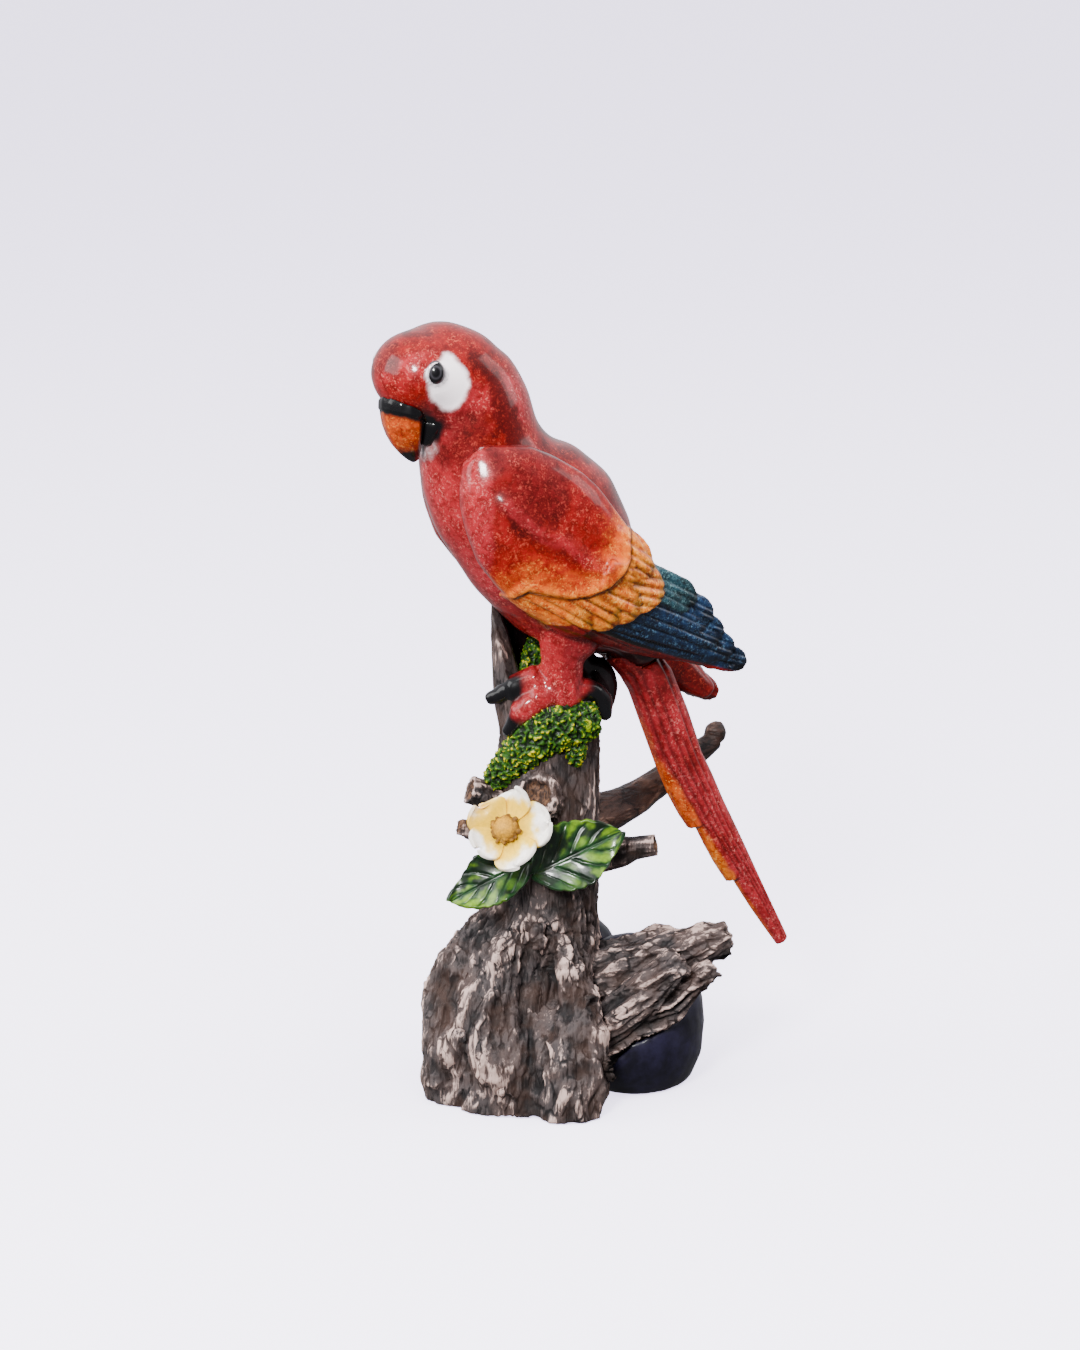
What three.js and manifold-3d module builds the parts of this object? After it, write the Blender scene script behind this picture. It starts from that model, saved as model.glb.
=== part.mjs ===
// A glazed parrot perched on a bark-textured stump, with a flower, two leaves, moss and dark boulders.
// Millimetres, +Z up. The front of the figurine faces -Y, the beak points towards -X and the tail towards +X.
// The origin is the middle of the footprint, on the surface that the figurine stands on.
import * as THREE from 'three';
import { mergeVertices } from 'three/addons/utils/BufferGeometryUtils.js';
import Module from 'manifold-3d';

const wasm = await Module();
wasm.setup();

// ---------------------------------------------------------------------------------------------
// Driving dimensions
// ---------------------------------------------------------------------------------------------
const SEAM = 0.3; // clearance that touching pieces keep, filled with slip or glue on the real one
const PERCH_HEIGHT = 118; // top of the stump where the feet grip
const BIRD_HEADING = 20; // degrees that the bird is turned towards the front
const HEAD_TURN = 22; // further turn of the head, degrees
const SKULL_RADIUS = 16;
const TORSO_WALL = 4; // slip-cast wall of the hollow torso
const STUMP_WALL = 6; // wall of the hollow stump
const PIN_RADIUS = 1.5; // steel dowels
const PAD_RADIUS = 5; // felt pads under the base
const PAD_THICKNESS = 1;
const PAD_PROUD = 0.3; // how far a pad stands out of its pocket
const PETALS = 5;
const RIGHT_WING_DROOP = 14; // the right wing's tip hangs lower than the left one's

// ---------------------------------------------------------------------------------------------
// Finishes
// ---------------------------------------------------------------------------------------------
const paint = (color, roughness, metalness = 0) => new THREE.MeshStandardMaterial({ color, roughness, metalness });
const FINISH = {
  redGlaze: paint(0xb32a25, 0.18),
  featherGlaze: paint(0xc9622c, 0.2),
  beakGlaze: paint(0xc4601f, 0.2),
  blackGlaze: paint(0x1a1a1d, 0.15),
  eyeGlass: paint(0x30302f, 0.08),
  bark: paint(0x7b6a60, 0.75),
  branchBark: paint(0x5c4f4a, 0.6),
  moss: paint(0x3f6b1c, 0.45),
  boulder: paint(0x25252e, 0.35),
  petal: paint(0xf4ece0, 0.45),
  stamen: paint(0xe0ac3c, 0.6),
  leaf: paint(0x2f6a26, 0.3),
  steel: paint(0xa8a8a8, 0.35, 0.9),
  wire: paint(0x6d5b45, 0.5, 0.4),
  felt: paint(0x2c3a2c, 0.95),
};

// ---------------------------------------------------------------------------------------------
// Solids
// ---------------------------------------------------------------------------------------------

// A three.js geometry as a manifold solid.
function solid(geometry) {
  const bare = geometry.index ? geometry.toNonIndexed() : geometry.clone();
  bare.deleteAttribute('normal');
  bare.deleteAttribute('uv');
  const merged = mergeVertices(bare, 1e-4);
  const vertProperties = merged.getAttribute('position').array;
  const triVerts = new Uint32Array(merged.index.array);
  return new wasm.Manifold(new wasm.Mesh({ numProp: 3, vertProperties, triVerts }));
}

// A manifold solid back as a three.js geometry.
function geometryOf(shape) {
  const { vertProperties, triVerts } = shape.getMesh();
  return new THREE.BufferGeometry()
    .setAttribute('position', new THREE.BufferAttribute(new Float32Array(vertProperties), 3))
    .setIndex(new THREE.BufferAttribute(new Uint32Array(triVerts), 1));
}

const join = (first, ...others) => others.reduce((whole, other) => whole.add(other), first);
const carve = (shape, ...tools) => tools.reduce((left, tool) => left.subtract(tool), shape);

// The largest piece of a solid that a cut has left in several bodies.
function largest(shape) {
  return shape.decompose().reduce((best, body) => (body.volume() > best.volume() ? body : best));
}

function named(name, shape, material) {
  const mesh = new THREE.Mesh(geometryOf(largest(shape)), material);
  mesh.name = name;
  return mesh;
}

// A solid of one group's frame as it lies in another group's frame.
function seenFrom(shape, own, other) {
  own.updateWorldMatrix(true, false);
  other.updateWorldMatrix(true, false);
  const matrix = other.matrixWorld.clone().invert().multiply(own.matrixWorld);
  return shape.transform(matrix.elements);
}

// A closed body drawn along a smooth spine. Each station is [x, y, z, half height, half width]: the half
// width runs along `across`, and the half height at right angles to it and to the spine.
function drawn(stations, { around = 14, along = 10, across = [0, 1, 0], grow = 0 } = {}) {
  const spine = new THREE.CatmullRomCurve3(stations.map(([x, y, z]) => new THREE.Vector3(x, y, z)));
  const sizes = new THREE.CatmullRomCurve3(stations.map(([, , , high, wide]) => new THREE.Vector3(high, wide, 0)));
  const body = new THREE.CylinderGeometry(1, 1, 1, around, along);
  const place = body.getAttribute('position');
  for (let i = 0; i < place.count; i += 1) {
    const share = place.getY(i) + 0.5;
    const size = sizes.getPoint(share);
    const tangent = spine.getTangent(share);
    const side = new THREE.Vector3(...across);
    side.addScaledVector(tangent, -side.dot(tangent)).normalize();
    const top = tangent.clone().cross(side);
    const endCap = Math.abs(place.getY(i)) > 0.499 ? Math.sign(place.getY(i)) : 0;
    const point = spine.getPoint(share)
      .addScaledVector(top, place.getX(i) * (size.x + grow))
      .addScaledVector(side, place.getZ(i) * (size.y + grow))
      .addScaledVector(tangent, endCap * grow);
    place.setXYZ(i, point.x, point.y, point.z);
  }
  return solid(body);
}

// An egg-shaped body with its three half sizes along x, y and z.
function egg([x, y, z], [halfX, halfY, halfZ], grow = 0, around = 20, rows = 14) {
  const ball = new THREE.SphereGeometry(1, around, rows);
  ball.scale(halfX + grow, halfY + grow, halfZ + grow).translate(x, y, z);
  return solid(ball);
}

// An upright round bar between two heights.
function bar(x, y, low, high, radius, sides = 16) {
  const geometry = new THREE.CylinderGeometry(radius, radius, high - low, sides);
  return solid(geometry.rotateX(Math.PI / 2).translate(x, y, (low + high) / 2));
}

// Everything below the underside of the base.
const FLOOR_REACH = 200;
function below(height) {
  const slab = new THREE.BoxGeometry(FLOOR_REACH, FLOOR_REACH, FLOOR_REACH);
  return solid(slab.translate(0, 0, height - FLOOR_REACH / 2));
}

// ---------------------------------------------------------------------------------------------
// Frames: the figurine, the bird turned on its perch, the head turned on the bird, and the flower
// ---------------------------------------------------------------------------------------------
const figurine = new THREE.Group();
const bird = new THREE.Group();
bird.position.set(-8, 0.5, PERCH_HEIGHT);
bird.rotation.z = THREE.MathUtils.degToRad(BIRD_HEADING);
figurine.add(bird);

const head = new THREE.Group();
head.position.set(-38.3, 0, 94);
head.rotation.z = THREE.MathUtils.degToRad(HEAD_TURN);
bird.add(head);

const flower = new THREE.Group();
flower.position.set(-23, -23.5, 85);
flower.quaternion.setFromUnitVectors(new THREE.Vector3(0, 0, 1), new THREE.Vector3(-0.3, -0.85, 0.43).normalize());
figurine.add(flower);

// ---------------------------------------------------------------------------------------------
// Stump, its stubs and branches, and the boulders
// ---------------------------------------------------------------------------------------------

// Root ridges run down the lower half of the stump: each is a spine that meets the ground.
const ROOTS = [
  [[-22, -2, 52, 7, 8], [-35, -4, 36, 9.5, 11], [-39, -7, 16, 8.5, 13], [-38.5, -8, -6, 8.5, 13]], // left
  [[-7, -9, 50, 6, 6], [-6, -16, 34, 8, 7], [-6, -24.5, 14, 10, 9], [-6, -26, -6, 10.5, 9.5]], // front
  [[-20, 8, 46, 6, 7], [-28, 14, 26, 8, 8], [-30, 16, -6, 9, 8]], // back left
];

function stumpBody(grow = 0) {
  const trunk = drawn([
    [-19, -4, -4, 25, 27],
    [-19, -4, 12, 25, 26],
    [-18.5, -3, 26, 23.5, 22],
    [-16.5, -2, 37, 19.5, 18],
    [-12.7, 0, 50, 15.6, 15.4],
    [-12.2, 0, 71, 15.1, 14.5],
    [-12, 0, 87, 15.3, 14.8],
    [-10.8, 0, 104, 14, 14],
    [-11.5, 0, 119, 15.2, 14.5],
    [-12.5, 0, 134, 14.9, 14.2],
    [-13.5, 0, 150, 14, 13.5],
  ], { around: 22, along: 18, grow });
  const roots = ROOTS.map((stations) => drawn(stations, { around: 12, along: 6, grow }));
  return join(trunk, ...roots);
}

// What is missing above the stump: its top is low where the feet grip, and a tall splinter wall stands
// at the left and back.
const WALL_BEARING = THREE.MathUtils.degToRad(148);
function brokenTop(grow = 0) {
  const profile = new THREE.Shape([
    [-60, PERCH_HEIGHT + 0.5], [-1, PERCH_HEIGHT + 0.5], [4, 126], [8, 138], [13, 145], [40, 151],
    [40, 200], [-60, 200],
  ].map(([run, height]) => new THREE.Vector2(run, height)));
  const block = new THREE.ExtrudeGeometry(profile, { depth: 120, bevelEnabled: false });
  block.translate(-grow, grow, -60).rotateX(Math.PI / 2).rotateZ(WALL_BEARING).translate(-12, 0, 0);
  return solid(block);
}

const topHollow = () => drawn(
  [[-16, 3, 113, 5.5, 5.5], [-17, 3.5, 124, 8, 8], [-17, 3.5, 155, 8.4, 8.4]],
  { around: 14, along: 5 },
);

// The slip-cast stump is open underneath.
const stumpCore = () => drawn([
  [-17, -4, -3, 24 - STUMP_WALL, 27 - STUMP_WALL],
  [-17.5, -3, 24, 22 - STUMP_WALL, 21 - STUMP_WALL],
  [-12.5, 0, 52, 15 - STUMP_WALL, 15 - STUMP_WALL],
  [-12, 0, 96, 14 - STUMP_WALL, 14 - STUMP_WALL],
], { around: 14, along: 8 });

const frontStub = (grow = 0) => drawn(
  [[-10, -6, 88, 7, 6.6], [-12.5, -13, 91, 6.4, 5.8], [-14.6, -18, 93.6, 7.2, 6]],
  { around: 16, along: 4, across: [1, 0, 0], grow },
);
const upperLeftStub = (grow = 0) => drawn(
  [[-21, -4, 87, 4.4, 4.2], [-28, -6.5, 89.5, 3.6, 3.4], [-33.5, -8, 92, 4, 3.7]],
  { around: 12, along: 4, grow },
);
const lowerLeftStub = (grow = 0) => drawn(
  [[-23, -5, 74, 4, 3.6], [-30.5, -8, 78.2, 2.6, 2.5], [-36.6, -10, 82, 2.3, 2.2]],
  { around: 10, along: 4, grow },
);
const shortBranch = (grow = 0) => drawn([
  [-2, -2, 71.5, 6.4, 6],
  [5, -4.5, 72, 5.2, 5],
  [10.5, -6, 73.3, 4.4, 4.2],
  [13.5, -7, 74.4, 3.1, 3.1],
  [19.6, -8.5, 75.6, 2.9, 2.8],
], { around: 12, along: 8, grow });

const longBranch = (grow = 0) => join(
  drawn([
    [-4, 0, 79.5, 7, 6.5],
    [6, 7, 80.8, 6, 5.6],
    [15, 15, 83, 4.7, 4.6],
    [24, 23, 87.2, 3.9, 3.9],
    [33, 30, 92, 3.2, 3.2],
    [38.5, 33.6, 95.2, 2.8, 2.8],
  ], { around: 12, along: 12, grow }),
  egg([38.6, 34, 97.2], [3.3, 3.3, 3.3], grow, 12, 8), // the burr at its tip
);

// The root that has broken off at the right ends in four splinters.
const SPLINTERS = [
  [[-6, -2, 27, 13, 11], [10, -4, 33.5, 9.8, 8.5], [26, -6, 41.5, 6.4, 6.4], [41, -6, 46, 4.9, 5]],
  [[-2, 4, 32, 7, 7], [14, 4, 38.8, 5.2, 5.5], [25.4, 4, 43.6, 3.1, 4]],
  [[-1, -11, 12, 9, 7], [13, -15.5, 28, 7.5, 5.5], [27, -16.5, 43.5, 3.6, 3.2]],
  [[2, -9, 13, 8.5, 7], [20, -13, 27.5, 6.2, 5.6], [37, -12, 39.4, 3, 3.2]],
];
const brokenRoot = (grow = 0) => join(
  ...SPLINTERS.map((stations) => drawn(stations, { around: 10, along: 5, grow })),
);

const frontBoulder = (grow = 0) => egg([13.2, 6, 17], [21.8, 24, 26], grow, 20, 14);
const rearBoulder = (grow = 0) => egg([-1.5, 24, 26], [12.5, 12, 18.5], grow, 16, 12);

// ---------------------------------------------------------------------------------------------
// Bird, in its own frame: the beak towards -X, its left side towards -Y, the origin on the perch
// ---------------------------------------------------------------------------------------------
const ACROSS = 20; // sides of the torso's sections

function torsoBody(grow = 0) {
  const trunk = drawn([
    [-28.5, 0, 97.5, 12.5, 12],
    [-25.5, 0, 87, 15.5, 15.5],
    [-24, 0, 75, 17.6, 17],
    [-18.5, 0, 62.5, 21.2, 20],
    [-6, 0, 49.5, 25, 22],
    [6, 0, 30, 20, 17.5],
    [20, 0, 18.5, 9.5, 10.5],
    [26.5, 0, 8.5, 6, 7],
  ], { around: ACROSS, along: 14, grow });
  const skull = egg([4, 0, 0], [SKULL_RADIUS - 1, SKULL_RADIUS, SKULL_RADIUS], grow, ACROSS, 12);
  const brow = egg([-4, 0, 2.6], [13, 14, 12], grow, ACROSS - 2, 10);
  return join(trunk, ...[skull, brow].map((part) => seenFrom(part, head, bird)));
}

const torsoHollow = () => drawn([
  [-30, 0, 88, 9 - TORSO_WALL, 10 - TORSO_WALL],
  [-24.5, 0, 75, 17 - TORSO_WALL, 16 - TORSO_WALL],
  [-19.5, 0, 62.5, 22 - TORSO_WALL, 20 - TORSO_WALL],
  [-8, 0, 48, 24 - TORSO_WALL, 20 - TORSO_WALL],
  [2, 0, 35, 19 - TORSO_WALL, 16 - TORSO_WALL],
], { around: 12, along: 7 });
const torsoVent = () => drawn([[-5, 0, 40, 4.5, 5], [-6, 0, 10, 4.5, 5]], { around: 10, along: 2 });

// A folded wing is a long blade that is broad at the shoulder. `side` is -1 for the bird's left wing.
// `droop` is how far the tip hangs below a level fold.
function wingBlade(side, droop, grow = 0) {
  return drawn([
    [-30, 14 * side, 76, 5, 4],
    [-24, 16.5 * side, 68, 14, 6.8],
    [-12, 18 * side, 53, 20, 8],
    [2, 17 * side, 39, 17.5, 7.2],
    [16, 13.5 * side, 27.5 - droop * 0.3, 12.8, 5.4],
    [32, 9.5 * side, 18 - droop * 0.7, 8.4, 4],
    [49.5, 7 * side, 8.5 - droop, 2.4, 2.4],
  ], { around: 14, along: 14, grow });
}

// The tail hangs down and back, three feather lengths stepped along its underside.
const TAIL_LAYERS = [
  [
    [19, 0, 13, 6, 6.5],
    [26.4, 0, 5, 7, 7],
    [35, 0, -16.6, 7.4, 6],
    [41, 0, -33.5, 6.4, 4.6],
    [44.8, 0, -42.5, 4.8, 3.4],
  ],
  [[30, 0, -6, 6, 5.6], [44, 0, -34, 5.8, 4.6], [52, 0, -52, 4.8, 3.6], [56, 0, -60.5, 3.6, 2.8]],
  [[42, 0, -28, 4.6, 4.4], [52, 0, -48, 4.4, 3.6], [62, 0, -67, 3.4, 2.7], [71, 0, -82.6, 2, 1.9]],
];
const tailBody = (grow = 0) => join(
  ...TAIL_LAYERS.map((stations) => drawn(stations, { around: 12, along: 7, grow })),
);

// In the head's frame, from the middle of the skull.
const upperBeak = (grow = 0) => drawn([
  [-9.4, 0, -2, 6, 7.4],
  [-10, 0, -8.5, 5.8, 7.2],
  [-9, 0, -14.5, 4.6, 5.6],
  [-7, 0, -19, 2.6, 3.2],
  [-5.6, 0, -21.6, 1, 1.2],
], { around: 14, along: 9, grow });
const lowerBeak = (grow = 0) => drawn(
  [[-2, 0, -5, 5.6, 9], [-2.6, 0, -11.6, 5.4, 9], [-4, 0, -17, 2.8, 5]],
  { around: 12, along: 6, grow },
);
const EYE_BEARING = 52; // degrees round the skull from the beak
const EYE_RISE = 18; // degrees above the middle of the skull
function eyeBead(side, grow = 0) {
  const round = THREE.MathUtils.degToRad(EYE_BEARING);
  const up = THREE.MathUtils.degToRad(EYE_RISE);
  const reach = SKULL_RADIUS - 1;
  const spot = [1 - reach * Math.cos(up) * Math.cos(round), reach * Math.cos(up) * Math.sin(round) * side,
    reach * Math.sin(up)];
  return egg(spot, [2.6, 2.6, 3.1], grow, 14, 10);
}

// Legs grip the stump, so they are built in the figurine's frame. Each is a shank with its toes.
const LEG_LEFT = [
  { stations: [[-5.5, -7.5, 147, 10, 8], [-6.5, -7.8, 139, 7.6, 6.4], [-7.2, -8, 129, 5.6, 5.2],
    [-7.8, -8.6, 118, 6.2, 5.4]], along: 8 },
  { stations: [[-8.5, -8.8, 122, 3.6, 3.4], [-16.3, -10, 124, 2.6, 2.7], [-22.6, -8, 121.2, 2.2, 2.2],
    [-27, -3.8, 117.6, 0.9, 1]], along: 7 },
  { stations: [[-8, -9.5, 120.5, 3.6, 3.6], [-14.9, -12.4, 120, 2.7, 2.8], [-19.7, -12.4, 115.4, 2.3, 2.3],
    [-22.9, -10.4, 109, 0.9, 1]], along: 7 },
  { stations: [[-6, -7, 121, 3.6, 3.6], [0.5, -6.2, 121.5, 2.7, 2.7], [4.4, -4, 117.6, 2.3, 2.3],
    [5.4, -3, 112.4, 1, 1]], along: 6 },
];
const LEG_RIGHT = [
  { stations: [[-4.5, 8.6, 144, 9, 7.5], [-4, 9, 136, 6.6, 6], [-3.4, 9.2, 127, 5.2, 5],
    [-3, 9.4, 118, 5.8, 5.4]], along: 8 },
  { stations: [[-4, 9.5, 121, 3.6, 3.6], [-10, 12.4, 121.5, 2.7, 2.7], [-15.5, 13.4, 119, 2.2, 2.2],
    [-18.6, 13.6, 114, 0.9, 1]], along: 6 },
  { stations: [[-2, 9, 123, 4, 3.8], [3.6, 8.2, 123.4, 3.4, 3.2], [6.2, 7.4, 118, 2.6, 2.6],
    [5.6, 6.6, 112, 1, 1]], along: 6 },
];
const legBody = (parts, grow = 0) => join(
  ...parts.map(({ stations, along }) => drawn(stations, { around: 10, along, grow })),
);
const PIN_LEFT = { x: -7.6, y: -8.3, low: 103, high: 129 };
const PIN_RIGHT = { x: -3.3, y: 9.3, low: 103, high: 124 };
const legPin = ({ x, y, low, high }, grow = 0) => bar(x, y, low - grow, high + grow, PIN_RADIUS + grow);

// ---------------------------------------------------------------------------------------------
// Moss, flower and leaves
// ---------------------------------------------------------------------------------------------
const frontMoss = (grow = 0) => join(
  drawn([
    [2, -8.5, 113.5, 4.5, 3.4],
    [-4, -11.5, 112.6, 6.8, 4.4],
    [-11, -12.6, 111.2, 7.2, 4.6],
    [-18.5, -11, 103.6, 5.6, 4.2],
    [-25, -6.2, 95.5, 4.2, 3.6],
    [-27.6, -4, 90.5, 2.4, 2.4],
  ], { around: 12, along: 11, grow }),
  drawn([[-4, -11.5, 110, 3.4, 3.2], [-3.6, -12, 104, 2.6, 2.6], [-3.6, -12, 100.8, 1.4, 1.6]],
    { around: 10, along: 4, grow }),
);
const rimMoss = (grow = 0) => drawn(
  [[-24, -4.5, 117.5, 2.4, 3], [-20, 0, 124, 4, 5], [-15, 5, 130, 4, 5], [-11, 9, 135, 2.4, 3.4]],
  { around: 12, along: 8, grow },
);

// The flower's frame has +Z out of its face.
const flowerCentre = (grow = 0) => egg([0, 0, 0.6], [4.3, 4.3, 2.4], grow, 14, 10);
const petalBlade = () => drawn([
  [2.6, 0, -0.6, 0.9, 1.4],
  [4.8, 0, 0.1, 0.9, 3],
  [7.6, 0, 1.6, 0.9, 5.1],
  [10.4, 0, 3.6, 0.8, 5.4],
  [12.2, 0, 5.2, 0.5, 3],
], { around: 12, along: 7 });
const flowerStem = (grow = 0) => drawn(
  [[0, 0, -1.4, 1.6, 1.6], [0.5, 0, -7, 1.2, 1.2], [1, 0, -17, 1.2, 1.2]],
  { around: 10, along: 4, grow },
);

const leftLeaf = (grow = 0) => drawn([
  [-14.6, -13, 75, 1.6, 1.2],
  [-19.6, -17.6, 72.6, 4.6, 1],
  [-26.5, -20, 69.4, 6.6, 1],
  [-33.5, -20, 65.6, 5, 0.9],
  [-39, -18.4, 62.4, 0.9, 0.6],
], { around: 12, along: 10, grow });
const rightLeaf = (grow = 0) => drawn([
  [-16.6, -12.4, 69.4, 2, 1.2],
  [-12.4, -17.6, 71.4, 7, 1],
  [-4.5, -19.4, 75, 9.2, 1],
  [3, -17.4, 78.2, 6.6, 0.9],
  [9, -14.4, 81.4, 0.9, 0.6],
], { around: 12, along: 10, grow });

// ---------------------------------------------------------------------------------------------
// Cutting the pieces to one another and naming them
// ---------------------------------------------------------------------------------------------
const underside = below(PAD_PROUD);
const PAD_SPOTS = [[-38.5, -8], [-5, -27], [-27, 15.5], [20, 8]];
const padPocket = ([x, y]) => bar(x, y, -1, PAD_THICKNESS + SEAM, PAD_RADIUS + SEAM, 20);
const pockets = PAD_SPOTS.map(padPocket);

const boulderGap = frontBoulder(SEAM);
const stumpGap = carve(stumpBody(SEAM), brokenTop(SEAM));
const legLeftGap = legBody(LEG_LEFT, SEAM);
const legRightGap = legBody(LEG_RIGHT, SEAM);
const pinGaps = [legPin(PIN_LEFT, SEAM), legPin(PIN_RIGHT, SEAM)];
const stemGap = seenFrom(flowerStem(SEAM), flower, figurine);
const torsoGap = seenFrom(torsoBody(SEAM), bird, figurine);
const rightWingGap = seenFrom(wingBlade(1, RIGHT_WING_DROOP, SEAM), bird, figurine);
const branchPin = (grow = 0) => drawn(
  [[-6, -1.6, 79.4, PIN_RADIUS, PIN_RADIUS], [14, 14, 82.8, PIN_RADIUS, PIN_RADIUS]],
  { around: 12, along: 1, grow },
);

function addStump() {
  const stump = carve(
    stumpBody(), brokenTop(), topHollow(), stumpCore(), underside, ...pockets, ...pinGaps, stemGap,
    branchPin(SEAM), torsoGap, rightWingGap,
  );
  figurine.add(named('stump', stump, FINISH.bark));
  const stubs = { front_stub: frontStub, upper_left_stub: upperLeftStub, lower_left_stub: lowerLeftStub };
  Object.entries(stubs).forEach(([name, stub]) => {
    figurine.add(named(name, carve(stub(), stumpGap, stemGap), FINISH.bark));
  });
  figurine.add(named('short_branch', carve(shortBranch(), stumpGap, longBranch(SEAM)), FINISH.bark));
  figurine.add(named('long_branch', carve(longBranch(), stumpGap, branchPin(SEAM)), FINISH.branchBark));
  figurine.add(named('branch_pin', branchPin(), FINISH.steel));
  figurine.add(named('broken_root', carve(brokenRoot(), stumpGap, underside), FINISH.bark));
}

function addBoulders() {
  const rootGap = brokenRoot(SEAM);
  const front = carve(frontBoulder(), stumpGap, rootGap, underside, ...pockets);
  const rear = carve(rearBoulder(), stumpGap, rootGap, boulderGap, underside);
  figurine.add(named('front_boulder', front, FINISH.boulder));
  figurine.add(named('rear_boulder', rear, FINISH.boulder));
}

function addBird() {
  const eyes = { eye_left: -1, eye_right: 1 };
  const sockets = Object.values(eyes).map((side) => seenFrom(eyeBead(side, SEAM), head, bird));
  const legHoles = [legLeftGap, legRightGap].map((gap) => seenFrom(gap, figurine, bird));
  const torso = carve(torsoBody(), torsoHollow(), torsoVent(), ...sockets);
  bird.add(named('torso', torso, FINISH.redGlaze));

  const torsoShell = torsoBody(SEAM);
  const wings = [wingBlade(-1, 0, SEAM), wingBlade(1, RIGHT_WING_DROOP, SEAM)];
  bird.add(named('wing_left', carve(wingBlade(-1, 0), torsoShell, ...legHoles), FINISH.featherGlaze));
  const rightBlade = wingBlade(1, RIGHT_WING_DROOP);
  bird.add(named('wing_right', carve(rightBlade, torsoShell, wings[0], ...legHoles), FINISH.featherGlaze));
  bird.add(named('tail', carve(tailBody(), torsoShell, ...wings, ...legHoles), FINISH.redGlaze));

  const skullShell = seenFrom(torsoShell, bird, head);
  head.add(named('beak_upper', carve(upperBeak(), skullShell), FINISH.beakGlaze));
  head.add(named('beak_lower', carve(lowerBeak(), skullShell, upperBeak(SEAM)), FINISH.blackGlaze));
  Object.entries(eyes).forEach(([name, side]) => head.add(named(name, eyeBead(side), FINISH.eyeGlass)));
}

function addLegs() {
  const left = carve(legBody(LEG_LEFT), stumpGap, torsoGap, ...pinGaps);
  const right = carve(legBody(LEG_RIGHT), stumpGap, torsoGap, legLeftGap, ...pinGaps);
  figurine.add(named('leg_left', left, FINISH.redGlaze));
  figurine.add(named('leg_right', right, FINISH.redGlaze));
  figurine.add(named('leg_pin_left', legPin(PIN_LEFT), FINISH.steel));
  figurine.add(named('leg_pin_right', legPin(PIN_RIGHT), FINISH.steel));
}

function addGreenery() {
  const stubGaps = [frontStub(SEAM), upperLeftStub(SEAM), lowerLeftStub(SEAM)];
  const legGaps = [legLeftGap, legRightGap];
  const front = carve(frontMoss(), stumpGap, ...stubGaps, ...legGaps, ...pinGaps);
  const rim = carve(rimMoss(), stumpGap, frontMoss(SEAM), torsoGap, ...legGaps);
  figurine.add(named('moss_front', front, FINISH.moss));
  figurine.add(named('moss_rim', rim, FINISH.moss));

  figurine.add(named('leaf_left', carve(leftLeaf(), stumpGap, stemGap, ...stubGaps), FINISH.leaf));
  const shortBranchGap = shortBranch(SEAM);
  const right = carve(rightLeaf(), stumpGap, stemGap, leftLeaf(SEAM), shortBranchGap, ...stubGaps);
  figurine.add(named('leaf_right', right, FINISH.leaf));

  const behind = [stumpGap, ...stubGaps, frontMoss(SEAM), leftLeaf(SEAM), rightLeaf(SEAM)];
  const around = [flowerCentre(SEAM), flowerStem(SEAM)];
  for (let i = 0; i < PETALS; i += 1) {
    const fan = new THREE.Group();
    fan.rotation.z = (i * 2 * Math.PI) / PETALS - 0.09;
    flower.add(fan);
    const gaps = [
      ...behind.map((gap) => seenFrom(gap, figurine, fan)),
      ...around.map((gap) => seenFrom(gap, flower, fan)),
    ];
    fan.add(named(`petal_${i + 1}`, carve(petalBlade(), ...gaps), FINISH.petal));
  }
  flower.add(named('flower_centre', flowerCentre(), FINISH.stamen));
  flower.add(named('flower_stem', carve(flowerStem(), flowerCentre(SEAM)), FINISH.wire));
}

function addPads() {
  PAD_SPOTS.forEach(([x, y], i) => {
    figurine.add(named(`felt_pad_${i + 1}`, bar(x, y, 0, PAD_THICKNESS, PAD_RADIUS, 20), FINISH.felt));
  });
}

addStump();
addBoulders();
addBird();
addLegs();
addGreenery();
addPads();

export default figurine;
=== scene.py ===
"""The looks of a glazed parrot figurine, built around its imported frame.

The parrot is glossy reactive-glaze ware in red, orange, yellow and blue. The stump under it is matt cast bark
with pale dry brushing, moss, a white flower, two glossy leaves and two dark boulders.
Shapes are worked out in millimetres, in the frame's own axes, and stored in metres.
"""

import logging
import math
from dataclasses import dataclass
from enum import Enum
from typing import Sequence

import bmesh
import bpy
import numpy as np
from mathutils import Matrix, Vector
from mathutils.bvhtree import BVHTree


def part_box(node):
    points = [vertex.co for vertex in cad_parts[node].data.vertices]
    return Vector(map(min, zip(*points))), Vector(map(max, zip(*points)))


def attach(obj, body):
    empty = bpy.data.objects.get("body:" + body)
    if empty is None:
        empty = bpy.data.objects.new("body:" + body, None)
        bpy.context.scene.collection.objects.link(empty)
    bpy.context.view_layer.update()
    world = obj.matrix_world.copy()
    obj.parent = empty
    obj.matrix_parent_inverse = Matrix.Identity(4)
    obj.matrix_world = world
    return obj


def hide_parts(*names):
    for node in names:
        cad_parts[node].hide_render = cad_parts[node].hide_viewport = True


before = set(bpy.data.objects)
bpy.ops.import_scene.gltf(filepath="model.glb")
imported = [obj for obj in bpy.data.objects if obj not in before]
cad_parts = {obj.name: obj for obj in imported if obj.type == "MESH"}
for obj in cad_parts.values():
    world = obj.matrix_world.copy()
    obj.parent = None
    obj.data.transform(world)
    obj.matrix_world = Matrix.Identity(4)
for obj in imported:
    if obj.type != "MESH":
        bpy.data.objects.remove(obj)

logging.basicConfig(level=logging.INFO, format="%(message)s")
LOG = logging.getLogger("figurine")

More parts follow.
